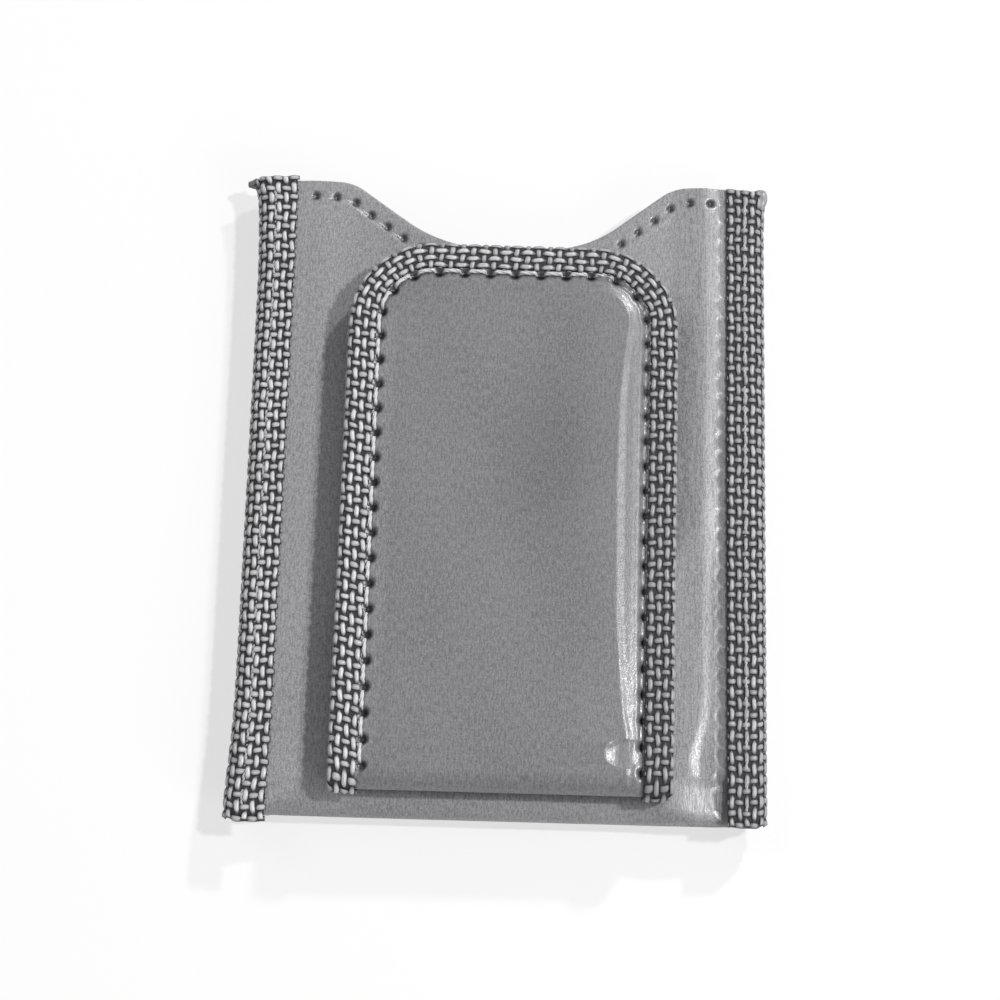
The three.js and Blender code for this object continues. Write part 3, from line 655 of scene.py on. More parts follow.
thread_material = polyester_thread("sewing_thread", dark=0.40, light=0.80)
thread_line = np.stack([hem_x, below_mouth(hem_x, HEM_INSET + THREAD_BELOW)], -1)
fine_hem = spaced_along(thread_line, THREAD_STEP)
hem_run = run_along(fine_hem)
hem_stitch = hem_run[-1] / (len(hem_holes) - 1)
hem_forward = unit(np.gradient(fine_hem, axis=0))
hem_across = np.stack([-hem_forward[:, 1], hem_forward[:, 0], 0 * hem_run], -1)
hem_sink = 0.5 + 0.5 * np.cos(2 * np.pi * (hem_run / hem_stitch - 0.80))
hem_proud = 0.48 + 0.22 * hem_sink - 0.20 * smooth_step(fine_hem[:, 0] / 6)
hem_rise = hem_proud * stitch_wave(hem_run, hem_stitch)
for panel, facing in [("front", 1), ("back", -1)]:
    hem_half = panel_half(fine_hem[:, 0], facing > 0)
    hem_rows = [
        ("needle", hem_half + LAYERS, facing, HEM_THREAD_LOW[facing]),
        ("bobbin", hem_half, -facing, HEM_BOBBIN_LOW),
    ]
    for thread, rest, up, low in hem_rows:
        hem_z = SLEEVE_HALF + facing * rest + up * (low + hem_rise)
        hem_centre = settled(np.stack([fine_hem[:, 0], fine_hem[:, 1], hem_z], -1))
        sew_row(f"{panel}_mouth_{thread}", "sleeve", thread_material, hem_centre, hem_across, HEM_THREAD_R)

# Clip magnets: four nickel-plated discs, two in each leaf of the clip, set into pockets of its foam pad. They
# keep the turned shape of their solids.


def object_place(tree):
    """The object's own coordinates, in metres."""
    return add_node(tree, "ShaderNodeTexCoord").outputs["Object"]


nickel, nickel_tree = fresh_material("magnet_nickel")
nickel_stain = noise(nickel_tree, object_place(nickel_tree), (900, 900, 900), 3.0)
nickel_colour = mix_colours(nickel_tree, nickel_stain, grey(0.5, 0.01), grey(0.66, 0.01))
nickel_rough = maths(nickel_tree, "MULTIPLY_ADD", nickel_stain, 0.25, 0.2)
dress(nickel_tree, Base_Color=nickel_colour, Metallic=1.0, Roughness=nickel_rough)
for leaf_name in ("base", "flap"):
    for hand in ("left", "right"):
        magnet_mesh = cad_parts[f"{leaf_name}_magnet_{hand}"].data
        magnet_mesh.materials.clear()
        magnet_mesh.materials.append(nickel)

# Clip face and lining: two sheets of the steel textile, laid on each other, bound together round their edges
# and folded double at the bottom. The flap's face swells over its pad, the base leaf's lining over its own.
CLIP_HALF = 22.2
CLIP_CORNER_R = 11.5
FACE_T = 0.4
FACE_UNDER = 0.15
CLIP_LINING_T = 0.3
CLIP_LINING_TOP = -0.1
CLIP_LINING_LOW = CLIP_LINING_TOP - CLIP_LINING_T
CLIP_WRAP_R = 1.05
CROWN_H = 1.2
FLAP_CROWN_H = 1.09
CROWN_INSET = 4.5
CROWN_RISE = 3.0
FOLD_R = 1.9
FOLD_Y = -39.05
FOLD_Z = 9.91
FOLD_S = FOLD_R * np.pi / 2
FLAP_SKEW = 0.005
CLIP_S = FOLD_S + 75 - FOLD_R - CLIP_WRAP_R
MAGNET_ROOM_R = 5.2
MAGNET_X = 9.0
MAGNET_S = CLIP_S - 13.2
STITCH_INSET = 4.10
HOLE_INSET = 4.42
CLIP_HOLE_R = 0.88
CLIP_NEEDLE_R = 0.66
CLIP_NEEDLE_DEPTH = 0.48
CLIP_PITCH = 3.4
S_FROM_Y = FOLD_S - FOLD_Y
# The crease over the right edge of the flap's pad: how far in from the edge it lies at heights along it.
CREASE_Y = np.array([-42.0, -36.0, -33.5, -31.0, -26.0, -18.0, 0.0, 11.6, 17.4, 22.4, 25.8, 33.0])
CREASE_INSET = np.array([6.4, 6.2, 6.4, 6.9, 7.4, 8.0, 8.2, 8.0, 7.4, 6.7, 6.3, 5.9])
# The left edge of the crown, and where its rise ends.
LEFT_EDGE_INSET = 3.9
LEFT_EASE_INSET = 8.2
# The tuck by the fold, where a stitch on the right draws the face in: its height, half width and reach in.
TUCK_Y = -36.3
TUCK_HALF = 1.8
TUCK_INSET = 9.3
TUCK_REACH = 7.5
# The share of the crown's height against the share of its width: steep at the stitches, gentle, then a little
# steeper at the crease.
crown_share = np.linspace(0, 1, 101)
at_stitches = 1 - smooth_step((crown_share - 0.12) / 0.12)
at_crease = smooth_step((crown_share - 0.66) / 0.1)
crown_slope = 0.45 + 2.4 * at_stitches + 0.7 * at_crease
crown_slope = crown_slope * (1 - smooth_step((crown_share - 0.92) / 0.08))
crown_profile = np.cumsum(crown_slope) / np.sum(crown_slope)


def strip_point(x, s, n):
    """A point of the folded strip: x across it, s along it from the fold's apex, below 0 on the base leaf,
    and n out from its middle. It turns about the fold's axis by s over the fold's radius, up to a quarter
    turn each way, and runs straight on from there. The flap lies a little askew: x grows by a share of the
    straight run."""
    turn = np.clip(s / FOLD_R, -np.pi / 2, np.pi / 2)
    r = FOLD_R + n
    straight = np.maximum(np.abs(s) - FOLD_S, 0)
    x = x + FLAP_SKEW * straight * (s > 0)
    y = FOLD_Y - r * np.cos(turn) + straight
    z = FOLD_Z + r * np.sin(turn)
    return np.stack(np.broadcast_arrays(x, y, z), -1)


def edge_distance(x, s):
    """Distance in from the strip's outline: two sides, and two ends with round corners."""
    corner_x = np.abs(x) - (CLIP_HALF - CLIP_CORNER_R)
    corner_s = np.abs(s) - (CLIP_S - CLIP_CORNER_R)
    in_corner = (corner_x > 0) & (corner_s > 0)
    straight = np.minimum(CLIP_HALF - np.abs(x), CLIP_S - np.abs(s))
    return np.where(in_corner, CLIP_CORNER_R - np.hypot(corner_x, corner_s), straight)


def outline_point(run, inset, measured):
    """Place on the strip's outline, drawn in by an inset, at a run along its closed loop: up the left side
    through the fold, round the flap's end, down the right side and round the base leaf's end. The run is
    counted at the inset called measured. Sides and ends are straight, and each corner is an arc of a quarter
    turn. It gives x, s, the direction in from the edge and the loop's length."""
    side = 2 * (CLIP_S - CLIP_CORNER_R)
    bend = np.pi / 2 * (CLIP_CORNER_R - measured)
    end = 2 * (CLIP_HALF - CLIP_CORNER_R)
    marks = np.cumsum([0, side, bend, end, bend, side, bend, end, bend])
    run = np.mod(run, marks[-1])
    k = np.clip(np.searchsorted(marks, run, "right") - 1, 0, 7)
    part = (run - marks[k]) / np.diff(marks)[k]
    turn = (k // 2 + part * (k % 2)) * np.pi / 2
    out_x, out_s = -np.cos(turn), np.sin(turn)
    middle_x = np.interp(run, marks, [-1, -1, -1, 1, 1, 1, 1, -1, -1])
    middle_s = np.interp(run, marks, [-1, 1, 1, 1, 1, -1, -1, -1, -1])
    r = CLIP_CORNER_R - inset
    x = middle_x * (CLIP_HALF - CLIP_CORNER_R) + r * out_x
    s = middle_s * (CLIP_S - CLIP_CORNER_R) + r * out_s
    return x, s, -out_x, -out_s, marks[-1]


def plain_crown(x, s):
    """Swell over a pad: it rises by a smooth step from the stitches and from the fold to its full height."""
    from_edge = (edge_distance(x, s) - CROWN_INSET) / CROWN_RISE
    from_fold = (np.abs(s) - FOLD_S - 1) / CROWN_RISE
    return CROWN_H * smooth_step(np.minimum(from_edge, from_fold))


def flap_crown(x, s):
    """Swell of the flap's face: from the stitches it rises to a crease over the pad's right edge and its end,
    as crown_profile says, and goes on rising behind the crease by a smooth step. On the left the pad reaches
    the stitches, and the rise is a power curve that is steep only there. At the tuck the crease reaches
    further in, by a half oval with a bead along it, and the rise has a level step. The crown is a little
    dished, lower towards the left and the end, and runs down to the fold by a parabola."""
    inset = edge_distance(x, s)
    y = s - S_FROM_Y
    left = smooth_step((-x - 4) / 12) * (1 - smooth_step((y - 17) / 10))
    plain_crease = np.interp(y, CREASE_Y, CREASE_INSET)
    crease = plain_crease + 0.35 * bell(nearest(x, s, clip_holes), 1.1)
    from_tuck = np.minimum(np.abs(y - TUCK_Y) / TUCK_HALF, 1)
    crease = crease + (TUCK_INSET - crease) * (1 - from_tuck ** 2.5) ** 0.4 * (x > 0)
    t = np.clip((inset - CROWN_INSET) / (crease - CROWN_INSET), 0, 1)
    even = 0.28 * smooth_step(t / 0.2) + 0.37 * t + 0.35 * smooth_step((t - 0.58) / 0.42)
    even = even + 0.06 * bell(inset - crease + 0.25, 0.35)
    from_left = np.clip((inset - LEFT_EDGE_INSET) / (LEFT_EASE_INSET - LEFT_EDGE_INSET), 0, 1)
    from_left = 1 - (1 - from_left) ** 1.8
    edge_share = np.clip((plain_crease - CROWN_INSET) / 3.7, 0.72, 0.82)
    dome = smooth_step((inset - CROWN_INSET) / 9)
    right = edge_share * np.interp(t, crown_share, crown_profile) + (1 - edge_share) * dome
    tucked = smooth_step((1 - from_tuck) / 0.42) * (x > 0)
    rise = right * (1 - left) * (1 - tucked) + from_left * left + even * tucked
    dish = (0.16 + 0.16 * bell(y - 6, 13)) * bell(x - 2, 8.0)
    dish = dish * smooth_step((y + 36) / 12) * smooth_step((30 - y) / 12)
    level = 1 - 0.22 * np.clip((15 - x) / 29, 0, 1) - 0.11 * smooth_step((y - 14) / 18) - dish
    roll = 1 - np.clip(1 - (np.abs(s) - 0.8) / 12, 0, 1) ** 2
    return FLAP_CROWN_H * rise * level * np.maximum(roll, 0)


def stitch_line(inset, step):
    """Places along the flap's stitch row, from the fold up the left side and round to the fold again: x, s,
    the direction in from the edge and the run."""
    side = 2 * (CLIP_S - CLIP_CORNER_R)
    loop = outline_point(np.zeros(1), inset, inset)[4]
    start = side / 2 + FOLD_S + 0.3
    length = loop / 2 - 2 * (FOLD_S + 0.3)
    run = np.linspace(0, length, int(round(length / step)) + 1)
    return (*outline_point(start + run, inset, inset)[:4], run)


hole_x, hole_s, hole_in_x, hole_in_s, hole_run = stitch_line(HOLE_INSET, CLIP_PITCH)
hole_shift = 0.30 * smooth_step((hole_x - 6) / 10)
clip_holes = np.stack([hole_x - hole_shift * hole_in_x, hole_s - hole_shift * hole_in_s], -1)
CLIP_STITCH = hole_run[1]


def past_fold(s):
    """0 at the fold and, by a smooth step, 1 on the flap."""
    return smooth_step((s - 0.3) / 1.5)


def face_relief(x, s):
    """What stands out on the flap's face: the crown with its needle holes, small puckers between them, which
    go by a cosine along the row, and low waves. It fades out at the fold."""
    y = s - S_FROM_Y
    to_hole = nearest(x, s, clip_holes)
    relief = flap_crown(x, s) + needle_hole(to_hole, CLIP_NEEDLE_R, CLIP_NEEDLE_DEPTH)
    pucker = np.cos(np.pi * np.clip(to_hole / CLIP_STITCH, 0, 1) * 2)
    relief = relief + 0.045 * bell(edge_distance(x, s) - 5.3, 0.5) * pucker
    relief = relief + 0.03 * np.sin(0.33 * x + 0.15 * y) + 0.03 * np.sin(0.21 * y - 0.17 * x + 2.0)
    return relief * past_fold(s)


def strip_grid(share, flap_rows, fold_rows, base_rows, inset, near_fold=0):
    """A grid on the strip, drawn in by an inset: rows across it along s, where each corner's rows are spaced
    by angle and some more can lie near the fold on the flap, and columns at shares of each row's half
    width."""
    corner_s = CLIP_S - CLIP_CORNER_R
    r = CLIP_CORNER_R - inset

    def leaf_rows(count):
        bend = max(6, count // 5)
        angle = np.linspace(0, np.pi / 2, bend + 1)[1:]
        straight = np.linspace(FOLD_S, corner_s, count - bend)
        s = np.concatenate([straight, corner_s + r * np.sin(angle)])
        bent_half = CLIP_HALF - CLIP_CORNER_R + r * np.cos(angle)
        half = np.concatenate([np.full(len(straight), CLIP_HALF - inset), bent_half])
        return s, half

    flap_s, flap_half = leaf_rows(flap_rows)
    base_s, base_half = leaf_rows(base_rows)
    close_s = np.linspace(FOLD_S, FOLD_S + TUCK_REACH, near_fold + 1)[1:-1]
    flap_s, first = np.unique(np.concatenate([flap_s, close_s]), return_index=True)
    flap_half = np.concatenate([flap_half, np.full(len(close_s), CLIP_HALF - inset)])[first]
    fold_s = np.linspace(-FOLD_S, FOLD_S, fold_rows + 2)[1:-1]
    s = np.concatenate([-base_s[::-1], fold_s, flap_s])
    half = np.concatenate([base_half[::-1], np.full(fold_rows, CLIP_HALF - inset), flap_half])
    return half[:, None] * share, np.broadcast_to(s[:, None], (len(s), len(share)))


def strip_sheet(name, grid, low, high, material, hole_shade_and_patch):
    """A sheet of the strip between two heights, with the cloth's own coordinates across and along it, and for
    each point a share of painted shade at needle holes, with any darker patch.
    """
    x, s = grid
    points, quads = closed_sheet(strip_point(x, s, high), strip_point(x, s, low))
    uv = np.stack([x, s], -1).reshape(-1, 2) * MM
    brushed = 0.2 * smooth_step((x - 12) / 4)
    values = {"hole_shade_and_patch": np.stack([hole_shade_and_patch, hole_shade_and_patch]), "brushed": np.stack([brushed, brushed])}
    return mesh_piece(name, points, quads, material, np.concatenate([uv, uv]), values=values)


clip_textile = steel_textile("steel_textile_clip", dark=0.108, light=0.246, rough=0.385)
face_share = np.concatenate([
    np.linspace(-1, -0.70, 23)[:-1], np.linspace(-0.70, 0.36, 63)[:-1], np.linspace(0.36, 1, 69),
])
face_grid = strip_grid(face_share, flap_rows=212, fold_rows=12, base_rows=16, inset=CLIP_WRAP_R, near_fold=36)
face_x, face_s = face_grid
face_swell = np.where(face_s > 0, face_relief(face_x, face_s), 0)
face_under = np.where(face_s > 0, flap_crown(face_x, face_s) * past_fold(face_s), 0)
# Painted shade in the flap face's needle holes, a little smaller towards the right.
face_hole_r = CLIP_HOLE_R * (1 - 0.25 * smooth_step((face_x - 6) / 10))
face_hole_shade = np.where(face_s > 0, hole_shade(nearest(face_x, face_s, clip_holes), face_hole_r), 0)
# A broad patch a little darker in the middle of the flap's face.
face_darker_patch = 0.20 * bell(face_x - 4.8, 7.0) * bell(face_s - S_FROM_Y - 3.0, 11.0)
from_magnet = nearest(np.abs(face_x), face_s, [(MAGNET_X, MAGNET_S)]) - MAGNET_ROOM_R
over_magnet = 1 - smooth_step(from_magnet / 0.6)
face_low = face_under - FACE_UNDER - 0.12 * face_hole_shade + 0.4 * over_magnet
clip_face_cloth = strip_sheet(
    "clip_face_cloth", face_grid, face_low, FACE_T + face_swell, clip_textile,
    np.maximum(face_hole_shade, face_darker_patch),
)
lining_share = np.linspace(-1, 1, 90)
lining_grid = strip_grid(lining_share, flap_rows=110, fold_rows=12, base_rows=110, inset=CLIP_WRAP_R)
clip_lining_x, clip_lining_s = lining_grid
lining_holes = np.concatenate([clip_holes, clip_holes * (1, -1)])
lining_to_hole = nearest(clip_lining_x, clip_lining_s, lining_holes)
lining_swell = np.where(clip_lining_s < 0, -plain_crown(clip_lining_x, clip_lining_s), 0)
lining_pull = -needle_hole(lining_to_hole, 0.5, 0.10)
# The lining's needle holes get painted shade too.
clip_lining_cloth = strip_sheet(
    "clip_lining_cloth", lining_grid, CLIP_LINING_LOW + lining_swell + lining_pull,
    CLIP_LINING_TOP + lining_swell, clip_textile, hole_shade(lining_to_hole, CLIP_HOLE_R),
)
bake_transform(clip_face_cloth)
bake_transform(clip_lining_cloth)
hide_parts("flap_face", "base_face")
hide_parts("flap_lining", "base_lining")

# Clip pads: one sheet of dark closed-cell foam in each leaf, cut to the leaf's shape, thinned at its edges
# and pressed to the magnets. It gives the leaf its crown.
PAD_INSET = 6.2
PAD_ROWS = 98
foam, foam_tree = fresh_material("pad_foam")
foam_place = object_place(foam_tree)
cells = add_node(foam_tree, "ShaderNodeTexVoronoi", Vector=foam_place, Scale=2600.0).outputs["Distance"]
foam_colour = mix_colours(foam_tree, cells, grey(0.018), grey(0.05))
dress(foam_tree, Base_Color=foam_colour, Roughness=0.9, Normal=bump(foam_tree, 0.6, 0.08 * MM, cells))
pad_grid = strip_grid(lining_share, flap_rows=PAD_ROWS + 2, fold_rows=2, base_rows=12, inset=PAD_INSET)
pad_x, pad_s = (rows[-PAD_ROWS:] for rows in pad_grid)
pad_edge = np.minimum(edge_distance(pad_x, pad_s) - PAD_INSET, pad_s - pad_s[0, 0])
pad_round = np.sqrt(1 - (1 - np.clip(pad_edge / 0.5, 0, 1)) ** 2)
from_magnet = nearest(np.abs(pad_x), pad_s, [(MAGNET_X, MAGNET_S)]) - MAGNET_ROOM_R
in_pocket = 1 - smooth_step(from_magnet / 0.35)
pads = [("flap", "clip_flap", 1, 0.0, flap_crown), ("base", "sleeve", -1, CLIP_LINING_TOP, plain_crown)]
for leaf_name, body, leaf, floor, crown in pads:
    height = np.clip(crown(pad_x, pad_s) - 0.22, 0.08, 1.0) * pad_round
    height = height + in_pocket * (0.03 - height)
    top = floor + leaf * height
    pad_points, pad_quads = closed_sheet(
        strip_point(pad_x, leaf * pad_s, top), strip_point(pad_x, leaf * pad_s, floor + 0 * top),
    )
    pad = mesh_piece(f"{leaf_name}_pad_foam", pad_points, pad_quads, foam)
    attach(pad, body)
    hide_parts(f"{leaf_name}_pad")

# Clip binding: coarse nylon tape in plain weave, folded round the strip's edge and running in one loop round
# both leaves. Its warp lies along the edge, and the picks are crowded where the tape turns the corners.
CLIP_TAPE_T = 0.55
CLIP_TAPE_COVER = 3.8
CLIP_WARPS = 8
CLIP_PICKS = 246
CLIP_COUNTED = 2.0
WARP_RINGS = 6
WEFT_RINGS = 6
# The dark sheet of painted shade under a tape's yarns: its inset from the tape's edges, and its thickness on
# the clip.
SHADE_SHEET_INSET = 0.2
CLIP_SHADE_SHEET_T = 0.26


def woven_yarns(name, material, place, width, length, warps, picks, closed, draws, painted_shade_and_tone, lift=0.155):
    """Plain weave on a tape. Warp k lies at k and a half pitches across it and weft j at j and a half pitches
    along it. A warp's height is the lift times a flattened cosine along the tape, of opposite sign on each
    neighbour, and a weft's is the opposite of the warp that it meets, so each passes over what the other
    passes under. Each yarn is an ellipse in section, narrower where it dives, and wanders a little. The
    painted shade and tone gives how much darker the tape is at a place across and along it: painted shade
    where it faces away from the lamps, and on the side tapes a slow wave of tone. Below 0 it is lighter. It
    makes the pieces of warp and weft."""
    warp_pitch, pick_pitch = width / warps, length / picks

    def flattened(wave, how):
        return np.tanh(how * wave) / np.tanh(how)

    def yarns(
        count, along, own_pitch, other_pitch, sign, half_wide, half_thick, rise_by, how, dive, stray, turned,
    ):
        sides = 8
        angle = 2 * np.pi * np.arange(sides) / sides
        k = np.arange(count)[:, None]
        sign = sign * (-1.0) ** k
        wave = sign * np.cos(np.pi * (along[None] / other_pitch - 0.5))
        slow, quick = draws.uniform(0, 2 * np.pi, (count, 2)).T[..., None]
        wander = 0.035 * np.sin(0.9 * along + slow) + 0.045 * np.sin(2.9 * along + quick)
        fullness = 1 + 0.08 * draws.normal(size=(count, 1)) * np.sin(1.3 * along + quick)
        middle = (k + 0.5) * own_pitch + wander + stray * np.clip(draws.normal(size=(count, 1)), -1.8, 1.8)
        rise = rise_by * flattened(wave, how)
        wide = half_wide * fullness * (1 - dive * (0.5 - 0.5 * flattened(wave, how)))
        out = middle[..., None] + wide[..., None] * np.cos(angle)
        high = rise[..., None] + half_thick * np.sin(angle)
        run = np.broadcast_to(along[None, :, None], out.shape)
        spot = (run, out) if turned else (out, run)
        rings = place(*spot, high)
        # The tone of each yarn: its own, wefts a little darker, less the painted shade and tone at its place.
        tone = draws.normal(size=(count, 1, 1)) - 1.2 * turned - painted_shade_and_tone(*spot)
        return rings, high, tone

    trim = 0 if closed else 0.42 * pick_pitch
    warp_along = np.linspace(trim, length - trim, picks * WARP_RINGS + 1)
    warp = yarns(
        warps, warp_along[:-1] if closed else warp_along, warp_pitch, pick_pitch, sign=1.0, turned=False,
        half_wide=0.32 * warp_pitch / 0.95, half_thick=0.17, rise_by=lift,
        how=1.9, dive=0.26, stray=0.02,
    )
    weft_along = np.linspace(-0.10, width + 0.10, warps * WEFT_RINGS + 3)
    weft = yarns(
        picks, weft_along, pick_pitch, warp_pitch, sign=-1.0, turned=True,
        half_wide=0.365 * pick_pitch / 1.45, half_thick=0.15, rise_by=0.8 * lift,
        how=1.6, dive=0.12, stray=0.06,
    )
    pieces = []
    sets = [("warp", warp, warp_along, closed), ("weft", weft, weft_along, False)]
    for label, (rings, high, tone), along, loop in sets:
        points, quads, uv = tube_mesh(rings, along, loop)
        values = {"rise": high / (2 * lift) + 0.5, "tone": tone}
        pieces.append(mesh_piece(f"{name}_{label}", points, quads, material, corner_uv=uv, values=values))
    return pieces


def nylon_yarn(name):
    """Light grey nylon yarn with a soft gloss: fibres along it, a tone of its own for each yarn that also
    carries painted shade, and painted shade down between the yarns, darker the lower a yarn lies."""
    material, tree = fresh_material(name)
    fibres = noise(tree, cloth_place(tree), (1.3, 11.0, 1), 2.0)
    tone = maths(tree, "MULTIPLY_ADD", read_value(tree, "tone"), 0.10, fibres)
    colour = mix_colours(tree, tone, grey(0.32, -0.003), grey(0.84, -0.003))
    # Painted shade between the yarns: the lower a yarn lies, the darker it is painted.
    painted_depth_shade = map_range(tree, read_value(tree, "rise"), 0.70, 1.42, 1.0, 0.0)
    colour = mix_colours(tree, painted_depth_shade, colour, grey(0.022))
    bumped = bump(tree, 0.5, 0.04 * MM, fibres)
    dress(tree, Base_Color=colour, Roughness=0.38, Normal=bumped)
    return material


def painted_shade_sheet(name):
    """A dark sheet of painted shade under a tape's yarns, which shows through the gaps between them."""
    material, tree = fresh_material(name)
    shade = noise(tree, object_place(tree), (1500, 1500, 1500), 2.0)
    dress(tree, Base_Color=mix_colours(tree, shade, grey(0.012), grey(0.038)), Roughness=0.85)
    return material


def round_loop(b):
    """How far round the clip's tape a place lies: 1 on the flap's left side, -1 on its right, by a cosine."""
    return np.cos(2 * np.pi * (b - (CLIP_S - CLIP_CORNER_R)) / CLIP_TAPE_LENGTH)


def clip_tape_place(a, b, h):
    """A point of the clip's tape: a across it, from the edge on the face down a straight leg, round the
    strip's edge by a half turn and back along the lining, b along the loop, and h out from the tape's middle.
    The weave leans along the loop, more on the left side."""
    b = b + (0.08 + 0.13 * round_loop(b)) * (a - CLIP_TAPE_WIDTH / 2)
    r = CLIP_WRAP_R - CLIP_TAPE_T / 2
    leg = CLIP_TAPE_COVER - CLIP_WRAP_R
    turn = np.clip((a - leg) / r, 0, np.pi)
    beyond = np.maximum(a - leg - np.pi * r, 0)
    depth = np.maximum(leg - a, 0) + beyond + CLIP_WRAP_R - (r + h) * np.sin(turn)
    x, s, in_x, in_s, _ = outline_point(b, 0, CLIP_COUNTED)
    return strip_point(x + depth * in_x, s + depth * in_s, (r + h) * np.cos(turn))


def closed_band(outer, inner):
    """Two equal grids of points whose last column meets the first, the two sides of a loop of tape."""
    rows, columns, _ = outer.shape
    grid = np.arange(rows * columns).reshape(rows, columns)
    ahead = np.roll(grid, -1, 1)
    under = rows * columns
    face = np.stack([grid[:-1], ahead[:-1], ahead[1:], grid[1:]], -1).reshape(-1, 4)
    first_rim = np.stack([ahead[0], grid[0], grid[0] + under, ahead[0] + under], -1)
    last_rim = np.stack([grid[-1], ahead[-1], ahead[-1] + under, grid[-1] + under], -1)
    points = np.concatenate([outer.reshape(-1, 3), inner.reshape(-1, 3)])
    return points, np.concatenate([face, face[:, ::-1] + under, first_rim, last_rim])


yarn_material = nylon_yarn("binding_yarn")
shade_sheet_material = painted_shade_sheet("binding_shade_sheet")
CLIP_TAPE_WIDTH = 2 * (CLIP_TAPE_COVER - CLIP_WRAP_R) + np.pi * (CLIP_WRAP_R - CLIP_TAPE_T / 2)
CLIP_TAPE_LENGTH = outline_point(np.zeros(1), 0, CLIP_COUNTED)[4]
# A dark sheet of painted shade under the clip's yarns, seen through their gaps. On the flap's right side it
# reaches out past the yarns' edge, a painted shadow line.
shade_sheet_a, shade_sheet_b = np.meshgrid(
    np.linspace(SHADE_SHEET_INSET, CLIP_TAPE_WIDTH - SHADE_SHEET_INSET, 25), np.linspace(0, CLIP_TAPE_LENGTH, 481),
    indexing="ij",
)
shade_sheet_a = shade_sheet_a - 0.4 * np.clip(-round_loop(shade_sheet_b), 0, 1) * (1 - shade_sheet_a / CLIP_TAPE_WIDTH)
shade_sheet_points, shade_sheet_quads = closed_band(*(
    clip_tape_place(shade_sheet_a, shade_sheet_b, height)[:, :-1] for height in (0.0, -CLIP_SHADE_SHEET_T)
))
clip_binding_shade_sheet = mesh_piece("clip_binding_shade_sheet", shade_sheet_points, shade_sheet_quads, shade_sheet_material)
# Painted shade on the clip's yarns: lighter on the flap's left side, much darker on its right, and darker
# round the turn and under it.
clip_yarns = woven_yarns(
    "clip_binding", yarn_material, clip_tape_place, CLIP_TAPE_WIDTH, CLIP_TAPE_LENGTH, CLIP_WARPS, CLIP_PICKS,
    True, np.random.default_rng(11),
    lambda a, b: 1.45 - 3.8 * round_loop(b) + 1.75 * round_loop(b) ** 2 + 2.5 * smooth_step((a - 2.6) / 1.2),
)
for tape in (clip_binding_shade_sheet, *clip_yarns):
    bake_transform(tape)
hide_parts("flap_binding", "base_binding")

# Clip stitches: twisted polyester thread along the inner edge of the tape. On the flap both rows lie on the
# flap. The base leaf is sewn through the front panel, so its bobbin row lies inside the pocket.
CLIP_THREAD_R = 0.27
thread_run_x, thread_run_s, thread_in_x, thread_in_s, thread_run = stitch_line(HOLE_INSET, THREAD_STEP)
on_right = smooth_step((thread_run_x - 6) / 10)
on_top = stitch_wave(thread_run, CLIP_STITCH)
bow = (HOLE_INSET - STITCH_INSET + 0.35 * on_right) * (0.3 + 0.7 * on_top)
thread_x = thread_run_x - bow * thread_in_x
thread_s = thread_run_s - bow * thread_in_s
thread_rise = -0.62 + (0.90 - 0.36 * on_right) * on_top
under_rise = -0.12 + 0.34 * on_top
thread_radius = CLIP_THREAD_R * (0.5 + 0.5 * on_top)
clip_rows = [
    ("flap_needle", "clip_flap", 1, FACE_T + thread_rise),
    ("flap_bobbin", "clip_flap", 1, CLIP_LINING_LOW - under_rise),
    ("base_needle", "sleeve", -1, CLIP_LINING_LOW - thread_rise),
    ("base_bobbin", "sleeve", -1, FOLD_Z - FOLD_R - SLEEVE_HALF - POCKET_HALF + thread_rise),
]
row_across = np.stack([thread_in_x, thread_in_s, 0 * thread_run], -1)
for row, body, leaf, height in clip_rows:
    row_centre = strip_point(thread_x, leaf * thread_s, height)
    sew_row(row, body, thread_material, row_centre, row_across, thread_radius, twist=3.6, strands=3)

# Side bindings: the same nylon tape, wider, folded round each side of the sleeve over shell and lining and
# sewn through with one row of stitches. The cut ends stand a little past the mouth and the bottom fold.
SIDE_WRAP_R = 1.75
SIDE_TAPE_Y = 44.8
SIDE_WARPS = 14
SIDE_PICKS = 62
SEAM_END_Y = 42.8
SEAM_THREAD_R = 0.22
SIDE_TURN_POWER = 2.4
# The side tapes' dark sheet of painted shade: its thickness, and how far short of the tape's ends it stops.
SIDE_SHADE_SHEET_T = 0.28
SIDE_SHADE_SHEET_END = 0.9
side_r = SIDE_WRAP_R - SIDE_TAPE_T / 2


def folded_profile(hand):
    """A side tape's folded shape, x against height over the sleeve's middle plane: the front leg, a squared
    quarter turn down to the middle, which is a superellipse, a round one and the back leg. It gives the
    points, the run along them and their direction."""
    leg = np.linspace(TAPE_INNER_X, TAPE_TURN_X, 40)[:-1]
    turn = np.linspace(0, np.pi / 2, 40)
    reach = SHELL_X + side_r - TAPE_TURN_X
    square = 2 / SIDE_TURN_POWER
    points = np.concatenate([
        np.stack([leg, tape_height(hand * leg)], -1),
        np.stack([TAPE_TURN_X + reach * np.sin(turn) ** square, TAPE_TURN_Z * np.cos(turn) ** square], -1),
        np.stack([TAPE_TURN_X + reach * np.cos(turn), -side_r * np.sin(turn)], -1)[1:],
        np.stack([leg, PINCH_HALF - side_r - pocket_half(leg)], -1)[::-1],
    ])
    return points, run_along(points), unit(np.gradient(points, axis=0))


